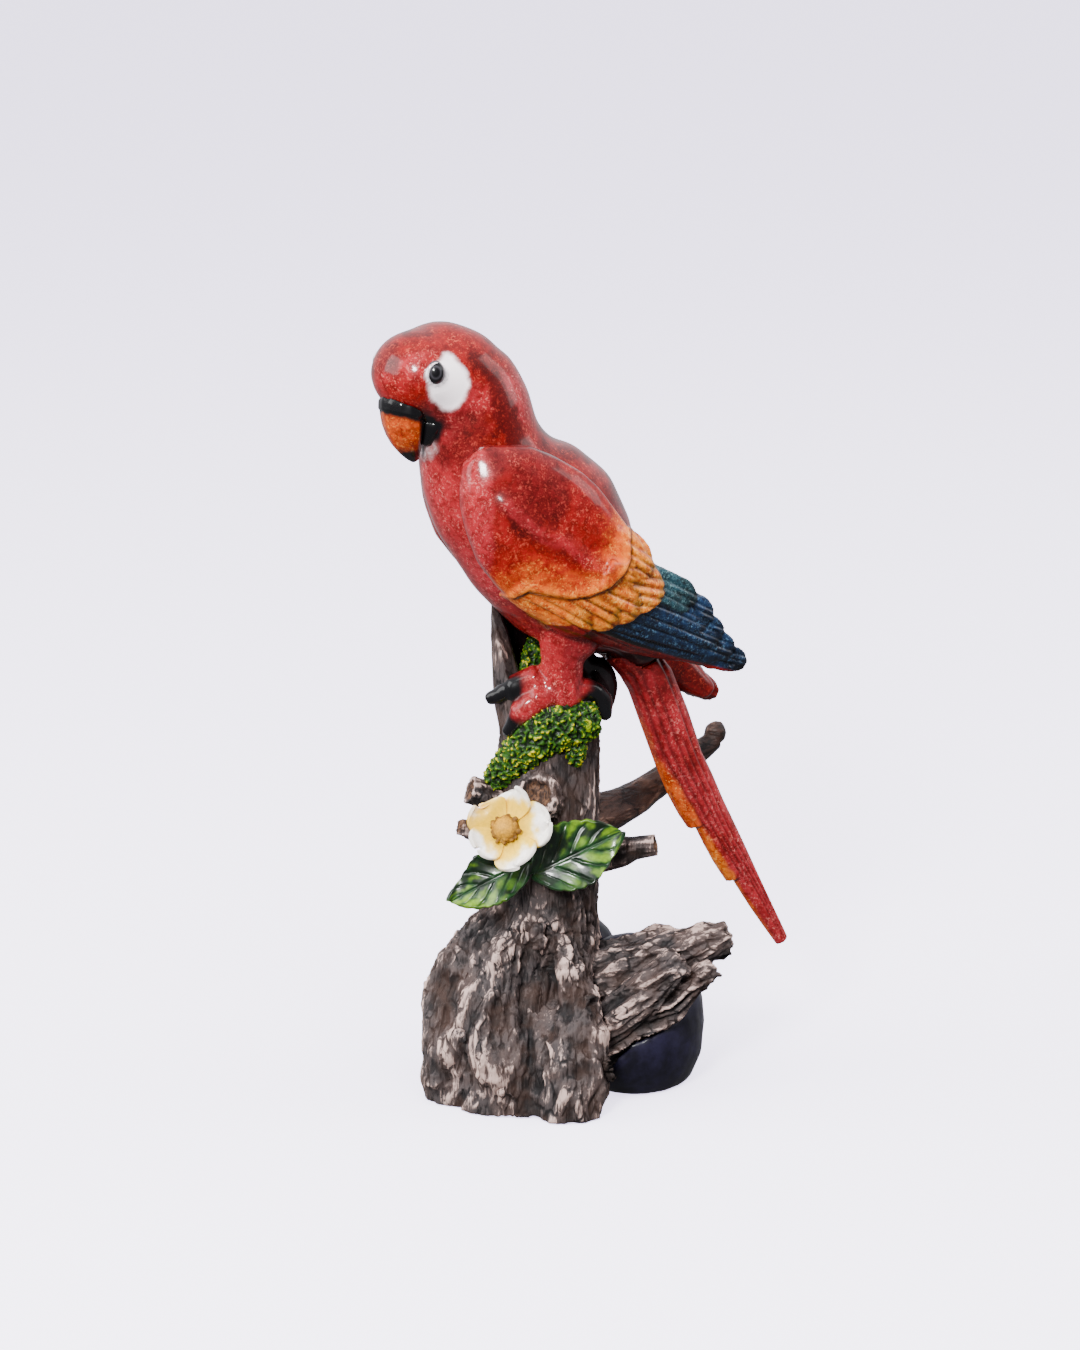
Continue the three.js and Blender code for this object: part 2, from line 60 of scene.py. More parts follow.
MM = 0.001
BODY = "root"
FLOOR_GAP = 0.32  # millimetres between the ground and a casting's flat underside, which the felt lifts
CLAW_SIDES, KNOT_SIDES = 14, 9
RANGE_INPUTS = ("Value", "From Min", "From Max", "To Min", "To Max")
Point = tuple[float, float, float]
Spot = tuple[float, float]
Piece = bpy.types.Object
Finish = bpy.types.Material
Socket = bpy.types.NodeSocket


# ------------------------------------------------------------------------------------------------
# Numbers over points
# ------------------------------------------------------------------------------------------------


def ease(low: float, high: float, value: np.ndarray) -> np.ndarray:
    """Smooth steps from 0 at `low` to 1 at `high`."""
    share = np.clip((value - low) / (high - low), 0.0, 1.0)
    return share * share * (3.0 - 2.0 * share)


def hill(value: np.ndarray, width: float) -> np.ndarray:
    """A bell of height 1 where `value` is 0, with `width` as its spread."""
    return np.exp(-((value / width) ** 2))


def blend(first: np.ndarray, second: np.ndarray, share: np.ndarray) -> np.ndarray:
    """Colours turned from `first` into `second` by each point's `share`; either may be one colour or rows."""
    return first + (second - first) * share[:, None]


def paint_of(code: str) -> np.ndarray:
    """A paint's linear colour from the six-digit code on its swatch."""
    shown = np.array([int(code[i : i + 2], 16) / 255 for i in (0, 2, 4)])
    return np.where(shown <= 0.04045, shown / 12.92, ((shown + 0.055) / 1.055) ** 2.4)


def evened(values: np.ndarray) -> np.ndarray:
    """Values moved and scaled so that their mean is 0 and their spread is 1."""
    return (values - values.mean()) / (values.std() + 1e-9)


def along_path(points: np.ndarray, path: Sequence[Sequence[float]]) -> tuple[np.ndarray, np.ndarray]:
    """How far along a path of straight runs each point lies, and how far off it.

    Args:
        points: One row for each point.
        path: The path's corners, with as many numbers each as a point has.

    Returns:
        The place along the path, counted in runs, and the distance from the path.
    """
    place = np.zeros(len(points))
    gap = np.full(len(points), np.inf)
    corners = np.array(path, float)
    for run, (start, end) in enumerate(zip(corners[:-1], corners[1:])):
        step = end - start
        share = np.clip((points - start) @ step / (step @ step), 0.0, 1.0)
        off = np.linalg.norm(points - (start + share[:, None] * step), axis=1)
        nearer = off < gap
        gap[nearer] = off[nearer]
        place[nearer] = run + share[nearer]
    return place, gap


@dataclass(frozen=True)
class Grain:
    """Smooth, repeatable randomness over points in millimetres."""

    seed: int

    def _lattice(self, cells: np.ndarray, salt: int = 0) -> np.ndarray:
        """One number from 0 to 1 for each cell of whole numbers."""
        x, y, z = (cells[:, i].astype(np.int64) for i in range(3))
        mixed = x * 374761393 + y * 668265263 + z * 1440670441 + (self.seed * 31 + salt) * 1274126177
        mixed = (mixed ^ (mixed >> 13)) * 1103515245
        mixed = (mixed ^ (mixed >> 16)) * 374761393
        return ((mixed ^ (mixed >> 15)) & 0xFFFFFF) / 0xFFFFFF

    def soft(self, points: np.ndarray, size: float, salt: int = 0) -> np.ndarray:
        """Smooth values from 0 to 1 whose lumps are `size` millimetres apart."""
        scaled = points / size
        base = np.floor(scaled)
        part = scaled - base
        part = part * part * (3.0 - 2.0 * part)
        total = np.zeros(len(points))
        for corner in np.ndindex(2, 2, 2):
            weight = np.prod(np.where(np.array(corner) == 1, part, 1.0 - part), axis=1)
            total += weight * self._lattice(base + corner, salt)
        return total

    def cloud(self, points: np.ndarray, size: float, octaves: int = 4) -> np.ndarray:
        """Layered lumps from 0 to 1, each layer half the size of the one before."""
        total, weight, full = np.zeros(len(points)), 1.0, 0.0
        for octave in range(octaves):
            total += weight * self.soft(points, size / 2**octave, octave)
            full += weight
            weight *= 0.5
        return total / full

    def ridge(self, points: np.ndarray, size: float, octaves: int = 4) -> np.ndarray:
        """Layered sharp crests from 0 to 1, as bark and cracks have."""
        total, weight, full = np.zeros(len(points)), 1.0, 0.0
        for octave in range(octaves):
            crest = 1.0 - np.abs(2.0 * self.soft(points, size / 2**octave, 50 + octave) - 1.0)
            total += weight * crest
            full += weight
            weight *= 0.55
        return total / full

    def pebbles(self, points: np.ndarray, size: float) -> tuple[np.ndarray, np.ndarray]:
        """Distances to the nearest and second nearest of scattered seeds, counted in `size`."""
        scaled = points / size
        base = np.floor(scaled)
        first = np.full(len(points), 9.0)
        second = np.full(len(points), 9.0)
        for offset in np.ndindex(3, 3, 3):
            cell = base + offset - 1.0
            seed = cell + np.stack([self._lattice(cell, 90 + axis) for axis in range(3)], axis=1)
            gap = np.linalg.norm(scaled - seed, axis=1)
            second = np.where(gap < first, first, np.minimum(second, gap))
            first = np.minimum(first, gap)
        return first, second


@dataclass(frozen=True)
class Turned:
    """An upright frame of its own, in millimetres: where it stands and how far it is turned."""

    origin: Point
    degrees: float

    def _spin(self) -> np.ndarray:
        """The turn as a matrix for rows of points."""
        cosine, sine = math.cos(math.radians(self.degrees)), math.sin(math.radians(self.degrees))
        return np.array([[cosine, sine, 0.0], [-sine, cosine, 0.0], [0.0, 0.0, 1.0]])

    def into(self, points: np.ndarray) -> np.ndarray:
        """Points of the figurine's frame as this frame sees them."""
        return (points - np.array(self.origin)) @ self._spin().T

    def out(self, points: np.ndarray) -> np.ndarray:
        """Points of this frame in the figurine's frame."""
        return points @ self._spin() + np.array(self.origin)

    def turn_in(self, directions: np.ndarray) -> np.ndarray:
        """Directions of the figurine's frame as this frame sees them."""
        return directions @ self._spin().T


WORLD = Turned((0.0, 0.0, 0.0), 0.0)
BIRD = Turned((-8.0, 0.5, 118.0), 20.0)  # beak towards -X, the bird's left towards -Y
HEAD = Turned(tuple(BIRD.out(np.array([[-38.3, 0.0, 94.0]]))[0]), 42.0)


# ------------------------------------------------------------------------------------------------
# Handling meshes
# ------------------------------------------------------------------------------------------------


def pick(*pieces: Piece) -> None:
    """Selects these pieces alone, and makes the last one active."""
    bpy.ops.object.select_all(action="DESELECT")
    for piece in pieces:
        piece.select_set(True)
        bpy.context.view_layer.objects.active = piece


def apply_modifier(piece: Piece, kind: str, **settings: object) -> None:
    """Adds a modifier with these settings and applies it."""
    pick(piece)
    modifier = piece.modifiers.new(kind.lower(), kind)
    for key, value in settings.items():
        setattr(modifier, key, value)
    bpy.ops.object.modifier_apply(modifier=modifier.name)


def copy_of(node: str, grow: float = 0.0) -> Piece:
    """A merged copy of a frame node as a piece of its own.

    Args:
        node: The node's name.
        grow: Millimetres that the copy is swollen by, so that it meets its neighbours.

    Returns:
        The copy, as a closed mesh.
    """
    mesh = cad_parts[node].data.copy()
    mesh.materials.clear()
    piece = bpy.data.objects.new(f"{node}_cast", mesh)
    bpy.context.scene.collection.objects.link(piece)
    pick(piece)
    bpy.ops.object.mode_set(mode="EDIT")
    bpy.ops.mesh.select_all(action="SELECT")
    bpy.ops.mesh.remove_doubles(threshold=1e-6)
    bpy.ops.object.mode_set(mode="OBJECT")
    if grow:
        apply_modifier(piece, "DISPLACE", strength=grow * MM, mid_level=0.0)
    return piece


def add_ball(centre: Sequence[float], radii: Sequence[float], detail: int = 3) -> Piece:
    """An egg of the given half sizes, in millimetres."""
    bpy.ops.object.select_all(action="DESELECT")
    bpy.ops.mesh.primitive_ico_sphere_add(
        subdivisions=detail, radius=MM, location=[c * MM for c in centre], scale=list(radii)
    )
    settle(bpy.context.object)
    return bpy.context.object


def add_cone(start: Point, end: Point, thick: float, tip: float, sides: int) -> Piece:
    """A blunt tapering rod between two places, `thick` and `tip` in radius at its ends, in millimetres."""
    low, high = Vector(start) * MM, Vector(end) * MM
    bpy.ops.object.select_all(action="DESELECT")
    bpy.ops.mesh.primitive_cone_add(
        vertices=sides,
        radius1=thick * MM,
        radius2=tip * MM,
        depth=(high - low).length,
        location=(low + high) / 2,
    )
    cone = bpy.context.object
    cone.rotation_euler = (high - low).to_track_quat("Z", "Y").to_euler()
    settle(cone)
    return cone


def settle(piece: Piece) -> None:
    """Moves a piece's place, turn and scale into its mesh."""
    pick(piece)
    bpy.ops.object.transform_apply(location=True, rotation=True, scale=True)


def join(pieces: Sequence[Piece], name: str) -> Piece:
    """Joins pieces into one object of that name."""
    pick(*pieces)
    bpy.ops.object.join()
    joined = bpy.context.object
    joined.name = name
    joined.data.name = name
    return joined


def fuse(pieces: Sequence[Piece], name: str, voxel: float) -> Piece:
    """Casts overlapping closed pieces as one skin, and drops any skin that is shut up inside it.

    Args:
        pieces: The closed pieces.
        name: The cast's name.
        voxel: Size of the new mesh's faces, in millimetres.

    Returns:
        The cast.
    """
    cast = join(pieces, name)
    apply_modifier(cast, "REMESH", mode="VOXEL", voxel_size=voxel * MM, use_smooth_shade=True)
    form = bmesh.new()
    form.from_mesh(cast.data)
    form.verts.ensure_lookup_table()
    unseen = set(range(len(form.verts)))
    islands: list[list[int]] = []
    while unseen:
        edge = [unseen.pop()]
        island = list(edge)
        while edge:
            for link in form.verts[edge.pop()].link_edges:
                for vertex in link.verts:
                    if vertex.index in unseen:
                        unseen.remove(vertex.index)
                        edge.append(vertex.index)
                        island.append(vertex.index)
        islands.append(island)
    keep = max(islands, key=len)
    lost = [form.verts[i] for island in islands if island is not keep for i in island]
    bmesh.ops.delete(form, geom=lost, context="VERTS")
    form.to_mesh(cast.data)
    form.free()
    return cast


def soften(piece: Piece, rounds: int, only: np.ndarray | None = None) -> None:
    """Rubs a piece smooth, or only the points that are marked True."""
    if only is None:
        apply_modifier(piece, "SMOOTH", factor=0.5, iterations=rounds)
        return
    group = piece.vertex_groups.new(name="rubbed")
    group.add([int(i) for i in np.nonzero(only)[0]], 1.0, "REPLACE")
    apply_modifier(piece, "SMOOTH", factor=0.5, iterations=rounds, vertex_group=group.name)
    piece.vertex_groups.remove(piece.vertex_groups["rubbed"])


class Clay:
    """One mesh as it is shaped and painted, with its points in millimetres."""

    def __init__(self, piece: Piece) -> None:
        """Takes up a piece's points."""
        self.piece = piece
        self.points = self._read("vertices", "co") / MM

    def _read(self, kind: str, what: str) -> np.ndarray:
        """Rows of three numbers from the mesh."""
        rows = getattr(self.piece.data, kind)
        flat = np.zeros(len(rows) * 3)
        rows.foreach_get(what, flat)
        return flat.reshape(-1, 3)

    def normals(self) -> np.ndarray:
        """The outward direction at each point."""
        return self._read("vertices", "normal")

    def place(self, points: np.ndarray) -> None:
        """Moves every point to its new place."""
        self.points = points
        self.piece.data.vertices.foreach_set("co", (points * MM).ravel())
        self.piece.data.update()

    def push(self, depth: np.ndarray) -> None:
        """Moves every point outwards by its depth, in millimetres."""
        self.place(self.points + self.normals() * depth[:, None])

    def paint(self, name: str, colours: np.ndarray) -> None:
        """Stores a colour at each point."""
        layer = self.piece.data.attributes.new(name, "FLOAT_COLOR", "POINT")
        full = np.ones((len(self.points), 4))
        full[:, :3] = np.clip(colours, 0.0, 1.0)
        layer.data.foreach_set("color", full.astype(np.float32).ravel())

    def mark(self, name: str, values: np.ndarray) -> None:
        """Stores a number at each point."""
        layer = self.piece.data.attributes.new(name, "FLOAT", "POINT")
        layer.data.foreach_set("value", np.asarray(values, np.float32))

    def skin(self, view: Turned = WORLD) -> BVHTree:
        """The mesh as a surface to measure to, in another frame's millimetres."""
        faces = [list(face.vertices) for face in self.piece.data.polygons]
        return BVHTree.FromPolygons([Vector(p) for p in view.into(self.points)], faces)


def gaps_to(points: np.ndarray, node: str) -> np.ndarray:
    """The distance from each point to a frame node's surface, in millimetres."""
    copy = copy_of(node)
    tree = Clay(copy).skin()
    bpy.data.objects.remove(copy)
    return np.array([tree.find_nearest(Vector(p))[3] for p in points])


def cast_anew(node: str, name: str, grow: float, voxel: float, rounds: int) -> Clay:
    """A node's copy, grown, cast as one skin and rubbed smooth.

    Args:
        node: The node's name.
        name: The cast's name.
        grow: Millimetres that it is swollen by.
        voxel: Size of the new mesh's faces, in millimetres.
        rounds: How often it is rubbed.

    Returns:
        The cast, ready to be shaped.
    """
    cast = fuse([copy_of(node, grow)], name, voxel)
    soften(cast, rounds)
    return Clay(cast)


def new_sheet(name: str, rows: int, columns: int) -> tuple[Clay, np.ndarray, np.ndarray]:
    """A flat grid, and each point's share along it, 0 to 1, and across it, -1 to 1."""
    bpy.ops.object.select_all(action="DESELECT")
    bpy.ops.mesh.primitive_grid_add(x_subdivisions=rows, y_subdivisions=columns, size=2.0)
    bpy.context.object.name = name
    clay = Clay(bpy.context.object)
    return clay, (clay.points[:, 0] * MM + 1.0) / 2.0, clay.points[:, 1] * MM


def thicken(sheet: Piece, thickness: float) -> None:
    """Turns a sheet into a smooth blade of that thickness, in millimetres."""
    apply_modifier(sheet, "SOLIDIFY", thickness=thickness * MM, offset=-1.0)
    apply_modifier(sheet, "SUBSURF", levels=1, render_levels=1)
    pick(sheet)
    bpy.ops.object.shade_smooth()


def flatten_underside(clay: Clay) -> None:
    """Keeps a casting's underside flat and off the ground."""
    points = clay.points.copy()
    points[:, 2] = np.maximum(points[:, 2], FLOOR_GAP)
    clay.place(points)


def finish_piece(piece: Piece, material: Finish, slot: str, *nodes: str) -> None:
    """Dresses a piece, names the nodes that it stands for, and fixes it to the figurine."""
    piece.data.materials.clear()
    piece.data.materials.append(material)
    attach(piece, BODY)
    if nodes:
        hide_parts(*nodes)
    LOG.info("%s: %d faces, for %s", piece.name, len(piece.data.polygons), ", ".join(nodes))


# ------------------------------------------------------------------------------------------------
# Finishes
# ------------------------------------------------------------------------------------------------


class Recipe:
    """A material as it is wired up, from the object's own place to its shader."""

    COLOUR_IN = (6, 7)  # a mix node's two colour inputs, which share their names with others
    COLOUR_OUT = 2

    def __init__(self, name: str) -> None:
        """Starts a material with its shader."""
        self.material = bpy.data.materials.new(name)
        self.material.use_nodes = True
        self.nodes = self.material.node_tree.nodes
        self.links = self.material.node_tree.links
        self.shader = self.nodes["Principled BSDF"]
        self.place = self.nodes.new("ShaderNodeTexCoord").outputs["Object"]

    def feed(self, socket: Socket, value: object) -> None:
        """Wires or sets one input."""
        if isinstance(value, Socket):
            self.links.new(value, socket)
        elif isinstance(value, (tuple, list, np.ndarray)) and len(value) == 3 and socket.type == "RGBA":
            socket.default_value = (*[float(v) for v in value], 1.0)
        else:
            socket.default_value = value

    def set(self, **inputs: object) -> None:
        """Sets or wires the shader's inputs, with underscores for the spaces in their names."""
        for name, value in inputs.items():
            self.feed(self.shader.inputs[name.replace("_", " ")], value)

    def stored(self, name: str, colour: bool = False) -> Socket:
        """A number or colour that the piece's points carry."""
        node = self.nodes.new("ShaderNodeAttribute")
        node.attribute_name = name
        return node.outputs["Color" if colour else "Fac"]

    def where(self, stretch: Point) -> Socket:
        """The object's own place, squeezed along each axis."""
        node = self.nodes.new("ShaderNodeMapping")
        node.inputs["Scale"].default_value = stretch
        self.links.new(self.place, node.inputs["Vector"])
        return node.outputs["Vector"]

    def grain(
        self,
        size: float,
        detail: float = 3.0,
        rough: float = 0.5,
        stretch: Point = (1, 1, 1),
        warp: float = 0.0,
    ) -> Socket:
        """Soft noise from 0 to 1 whose lumps are about `size` millimetres."""
        node = self.nodes.new("ShaderNodeTexNoise")
        node.inputs["Scale"].default_value = 1.0 / (size * MM)
        node.inputs["Detail"].default_value = detail
        node.inputs["Roughness"].default_value = rough
        node.inputs["Distortion"].default_value = warp
        self.links.new(self.where(stretch), node.inputs["Vector"])
        return node.outputs["Fac"]

    def pebble(self, size: float, feature: str = "F1", stretch: Point = (1, 1, 1)) -> Socket:
        """Distance pattern of scattered seeds about `size` millimetres apart."""
        node = self.nodes.new("ShaderNodeTexVoronoi")
        node.feature = feature
        node.inputs["Scale"].default_value = 1.0 / (size * MM)
        self.links.new(self.where(stretch), node.inputs["Vector"])
        return node.outputs["Distance"]

    def between(
        self, value: object, low: float, high: float, start: float = 0.0, end: float = 1.0
    ) -> Socket:
        """A value eased from `start` to `end` as it goes from `low` to `high`."""
        node = self.nodes.new("ShaderNodeMapRange")
        node.interpolation_type = "SMOOTHSTEP"
        for name, setting in zip(RANGE_INPUTS, (value, low, high, start, end)):
            self.feed(node.inputs[name], setting)
        return node.outputs["Result"]

    def times(self, first: object, second: object) -> Socket:
        """The product of two numbers."""
        return self.work("MULTIPLY", first, second)

    def plus(self, first: object, second: object) -> Socket:
        """The sum of two numbers."""
        return self.work("ADD", first, second)

    def minus(self, first: object, second: object) -> Socket:
        """The first number less the second."""
        return self.work("SUBTRACT", first, second)

    def work(self, operation: str, first: object, second: object) -> Socket:
        """One piece of arithmetic on two numbers."""
        node = self.nodes.new("ShaderNodeMath")
        node.operation = operation
        self.feed(node.inputs[0], first)
        self.feed(node.inputs[1], second)
        return node.outputs["Value"]

    def mix(self, share: object, first: object, second: object, way: str = "MIX") -> Socket:
        """Two colours mixed by a share."""
        node = self.nodes.new("ShaderNodeMix")
        node.data_type = "RGBA"
        node.blend_type = way
        self.feed(node.inputs["Factor"], share)
        for index, value in zip(self.COLOUR_IN, (first, second)):
            self.feed(node.inputs[index], value)
        return node.outputs[self.COLOUR_OUT]

    def bump(self, height: object, depth: float, strength: float = 1.0) -> None:
        """Raises the surface where `height` is high, on top of any bump before it."""
        node = self.nodes.new("ShaderNodeBump")
        node.inputs["Strength"].default_value = strength
        node.inputs["Distance"].default_value = depth * MM
        self.feed(node.inputs["Height"], height)
        before = self.shader.inputs["Normal"].links
        if before:
            self.links.new(before[0].from_socket, node.inputs["Normal"])
        self.links.new(node.outputs["Normal"], self.shader.inputs["Normal"])


@dataclass(frozen=True)
class SpeckledGlaze:
    """Glossy reactive glaze: a deep stain with paler flecks in it, both from the piece's own paint."""

    name: str
    fleck_size: float = 1.0
    fleck_share: float = 0.62
    ripple: float = 0.05

    def make(self) -> Finish:
        """Wires the glaze."""
        mixer = Recipe(self.name)
        stain, pale = mixer.stored("tint", True), mixer.stored("fleck", True)
        coarse = mixer.between(mixer.grain(self.fleck_size, 2.5, 0.6), 0.55, 0.67)
        fine = mixer.between(mixer.grain(self.fleck_size * 0.5, 2.0, 0.6, warp=0.8), 0.55, 0.66)
        patchy = mixer.between(mixer.grain(self.fleck_size * 6.0, 3.0, 0.55), 0.34, 0.64, 0.25, 1.0)
        flecks = mixer.work("MAXIMUM", coarse, mixer.times(fine, 0.7))
        speckle = mixer.stored("speckle")
        flecks = mixer.times(mixer.times(flecks, patchy), speckle)
        depth = mixer.between(mixer.grain(self.fleck_size * 2.6, 5.0, 0.68, warp=0.6), 0.34, 0.60)
        depth = mixer.work("MAXIMUM", depth, mixer.minus(1.0, speckle))
        deep = mixer.mix(1.0, stain, mixer.mix(depth, (0.55, 0.25, 0.22), (1.1, 1.1, 1.1)), "MULTIPLY")
        colour = mixer.mix(mixer.times(flecks, self.fleck_share), deep, pale)
        mixer.set(Base_Color=colour, Roughness=0.4, Specular_IOR_Level=0.1)
        mixer.set(Coat_Weight=1.0, Coat_Roughness=0.12, Coat_IOR=1.45)
        mixer.bump(mixer.grain(3.2, 2.0, 0.5), self.ripple, 0.35)
        return mixer.material


@dataclass(frozen=True)
class BarkPaint:
    """Matt cast bark: charcoal in the cracks, pale dry brushing on whatever stands up."""

    name: str
    crack: str = "120f10"
    middle: str = "3c3535"
    crest: str = "bca097"
    run: Point = (1.0, 1.0, 0.3)
    gloss: float = 0.68

    def make(self) -> Finish:
        """Wires the bark."""
        mixer = Recipe(self.name)
        relief = mixer.stored("relief")
        fibre = mixer.grain(1.5, 6.0, 0.68, self.run, 0.5)
        hair = mixer.grain(0.6, 4.0, 0.6, tuple(c * c for c in self.run), 0.3)
        height = mixer.plus(mixer.times(fibre, 0.6), mixer.times(hair, 0.4))
        level = mixer.plus(relief, mixer.times(mixer.minus(height, 0.5), 2.1))
        crackle = mixer.pebble(2.8, "DISTANCE_TO_EDGE", self.run)
        patches = mixer.between(mixer.grain(5.0, 3.0), 0.44, 0.60)
        split = mixer.times(mixer.between(crackle, 0.11, 0.0), patches)
        height = mixer.minus(height, mixer.times(split, 0.3))
        level = mixer.minus(level, mixer.times(split, 0.6))
        low = mixer.between(level, 0.14, 0.46)
        high = mixer.between(level, 0.59, 0.93)
        colour = mixer.mix(low, paint_of(self.crack), paint_of(self.middle))
        colour = mixer.mix(high, colour, paint_of(self.crest))
        stain = mixer.between(mixer.grain(9.0, 3.0, 0.6), 0.35, 0.7, 0.0, 0.35)
        colour = mixer.mix(stain, colour, mixer.mix(0.5, colour, paint_of("6a4634")))
        rotten = mixer.mix(mixer.between(height, 0.4, 0.6), paint_of("2a1a12"), paint_of("6e4a30"))
        colour = mixer.mix(mixer.stored("rot"), colour, rotten)
        # near-black gloss where the piece marks it: dark glaze together with painted shade in the hollow top
        dark_gloss_and_shade = mixer.stored("dark_gloss_and_shade")
        colour = mixer.mix(dark_gloss_and_shade, colour, paint_of("14090c"))
        rough = mixer.between(dark_gloss_and_shade, 0.0, 1.0, self.gloss, 0.12)
        mixer.set(Base_Color=colour, Roughness=rough, Specular_IOR_Level=0.4)
        mixer.bump(height, 0.8, 0.9)
        return mixer.material


@dataclass(frozen=True)
class MossPaint:
    """Dark green crusty moss with yellow-green touched on to its tips."""

    name: str = "moss_paint"

    def make(self) -> Finish:
        """Wires the moss."""
        mixer = Recipe(self.name)
        relief = mixer.stored("relief")
        fine = mixer.grain(0.55, 3.0, 0.6)
        level = mixer.plus(relief, mixer.times(mixer.minus(fine, 0.5), 0.7))
        patch = mixer.grain(6.0, 2.0, 0.5)
        tip = mixer.mix(mixer.between(patch, 0.42, 0.6), paint_of("7a9000"), paint_of("bcac00"))
        colour = mixer.mix(mixer.between(level, 0.30, 0.54), paint_of("081604"), paint_of("244a08"))
        colour = mixer.mix(mixer.between(level, 0.62, 0.84), colour, tip)
        mixer.set(Base_Color=colour, Roughness=0.5, Specular_IOR_Level=0.2)
        mixer.set(Coat_Weight=0.12, Coat_Roughness=0.2)
        mixer.bump(fine, 0.25, 0.7)
        return mixer.material


@dataclass(frozen=True)
class HandPaint:
    """Thin paint that shows the brush, over colours from the piece's own paint."""

    name: str
    roughness: float = 0.45
    coat: float = 0.0
    streak: Point = (1.0, 1.0, 1.0)
    wash: float = 0.25
    texture: float = 0.12
    grain_size: float = 0.9

    def make(self) -> Finish:
        """Wires the paint."""
        mixer = Recipe(self.name)
        base = mixer.stored("tint", True)
        brush = mixer.grain(self.grain_size, 4.0, 0.6, self.streak, 0.4)
        shade = mixer.between(brush, 0.3, 0.7, 1.0 - self.wash, 1.0 + self.wash * 0.3)
        grey = self._grey(mixer, shade)
        colour = mixer.mix(1.0, base, grey, "MULTIPLY")
        mixer.set(
            Base_Color=colour,
            Roughness=self.roughness,
            Specular_IOR_Level=0.5,
            Coat_Weight=self.coat,
            Coat_Roughness=0.08,
        )
        mixer.bump(brush, self.texture, 0.6)
        return mixer.material

    @staticmethod
    def _grey(mixer: Recipe, shade: Socket) -> Socket:
        """A number as a grey."""
        node = mixer.nodes.new("ShaderNodeCombineColor")
        for name in ("Red", "Green", "Blue"):
            mixer.links.new(shade, node.inputs[name])
        return node.outputs["Color"]


@dataclass(frozen=True)
class BoulderGlaze:
    """Satin blue-black glaze with a faint mottle."""

    name: str = "boulder_glaze"

    def make(self) -> Finish:
        """Wires the boulders' glaze."""
        mixer = Recipe(self.name)
        mottle = mixer.between(mixer.grain(7.0, 4.0, 0.6), 0.35, 0.7)
        colour = mixer.mix(mottle, paint_of("100e18"), paint_of("1f1c30"))
        dust = mixer.between(mixer.grain(0.8, 3.0, 0.7), 0.66, 0.78, 0.0, 0.3)
        colour = mixer.mix(dust, colour, paint_of("343548"))
        rough = mixer.between(mixer.grain(4.0, 3.0, 0.6), 0.3, 0.7, 0.34, 0.5)
        mixer.set(Base_Color=colour, Roughness=rough, Specular_IOR_Level=0.25)
        mixer.set(Coat_Weight=0.18, Coat_Roughness=0.25)
        mixer.bump(mixer.grain(2.4, 3.0, 0.55), 0.12, 0.5)
        return mixer.material


@dataclass(frozen=True)
class Felt:
    """Green felt with a short nap."""

    name: str = "green_felt"

    def make(self) -> Finish:
        """Wires the felt."""
        mixer = Recipe(self.name)
        nap = mixer.grain(0.25, 4.0, 0.7)
        colour = mixer.mix(mixer.between(nap, 0.35, 0.65), paint_of("16251a"), paint_of("33503a"))
        mixer.set(Base_Color=colour, Roughness=0.95, Sheen_Weight=0.5, Sheen_Roughness=0.5)
        mixer.bump(nap, 0.12, 0.8)
        return mixer.material


@dataclass(frozen=True)
class PlainMetal:
    """Drawn metal with fine turning lines."""

    name: str
    colour: str
    roughness: float = 0.32

    def make(self) -> Finish:
        """Wires the metal."""
        mixer = Recipe(self.name)
        lines = mixer.grain(0.5, 2.0, 0.6, (1.0, 1.0, 6.0))
        tone = mixer.mix(mixer.between(lines, 0.3, 0.7, 0.0, 0.3), paint_of(self.colour), paint_of("4a4743"))
        rough = mixer.between(lines, 0.3, 0.7, self.roughness, self.roughness + 0.15)
        mixer.set(Base_Color=tone, Metallic=1.0, Roughness=rough)
        mixer.bump(lines, 0.02, 0.5)
        return mixer.material


# ------------------------------------------------------------------------------------------------
# The bird's paint box
# ------------------------------------------------------------------------------------------------


class Stain(Enum):
    """The bird's stains, each as a swatch for the deep glaze and one for its flecks."""

    RED = ("760606", "c44c38")
    ROSE = ("98222a", "dc7c78")
    CRIMSON = ("440202", "982416")
    EMBER = ("8a1006", "d0601c")
    ORANGE = ("c04e0a", "f2a84c")
    AMBER = ("dc7e14", "fac868")
    OLIVE = ("4c4c1c", "a09038")
    TEAL = ("20404a", "74a0a4")
    BLUE = ("1a3050", "6896ba")
    INK = ("08080a", "1a1c22")
    WHITE = ("faeef2", "ffffff")
    SMOKE = ("504d54", "8a8890")

    @property
    def deep(self) -> np.ndarray:
        """The glaze where it lies thick."""
        return paint_of(self.value[0])

    @property
    def pale(self) -> np.ndarray:
        """The flecks in it."""
        return paint_of(self.value[1])


class Coat:
    """Paint as it is laid over a piece, stain by stain."""

    def __init__(self, count: int, ground: Stain) -> None:
        """Covers every point with one stain."""
        self.tint = np.tile(ground.deep, (count, 1))
        self.fleck = np.tile(ground.pale, (count, 1))
        self.speckle = np.ones(count)

    def lay(self, stain: Stain, share: np.ndarray, speckle: float | None = None) -> None:
        """Lays a stain where `share` is above 0."""
        self.tint = blend(self.tint, stain.deep, share)
        self.fleck = blend(self.fleck, stain.pale, share)
        if speckle is not None:
            self.speckle = self.speckle + (speckle - self.speckle) * share

    def darken(self, share: np.ndarray) -> None:
        """Lets the glaze pool darker where `share` is above 0."""
        self.tint = self.tint * (1.0 - share)[:, None]
        self.fleck = self.fleck * (1.0 - share)[:, None]

    def keep_on(self, clay: Clay) -> None:
        """Stores the paint on the piece."""
        clay.paint("tint", self.tint)
        clay.paint("fleck", self.fleck)
        clay.mark("speckle", self.speckle)


# ------------------------------------------------------------------------------------------------
# The bird
# ------------------------------------------------------------------------------------------------


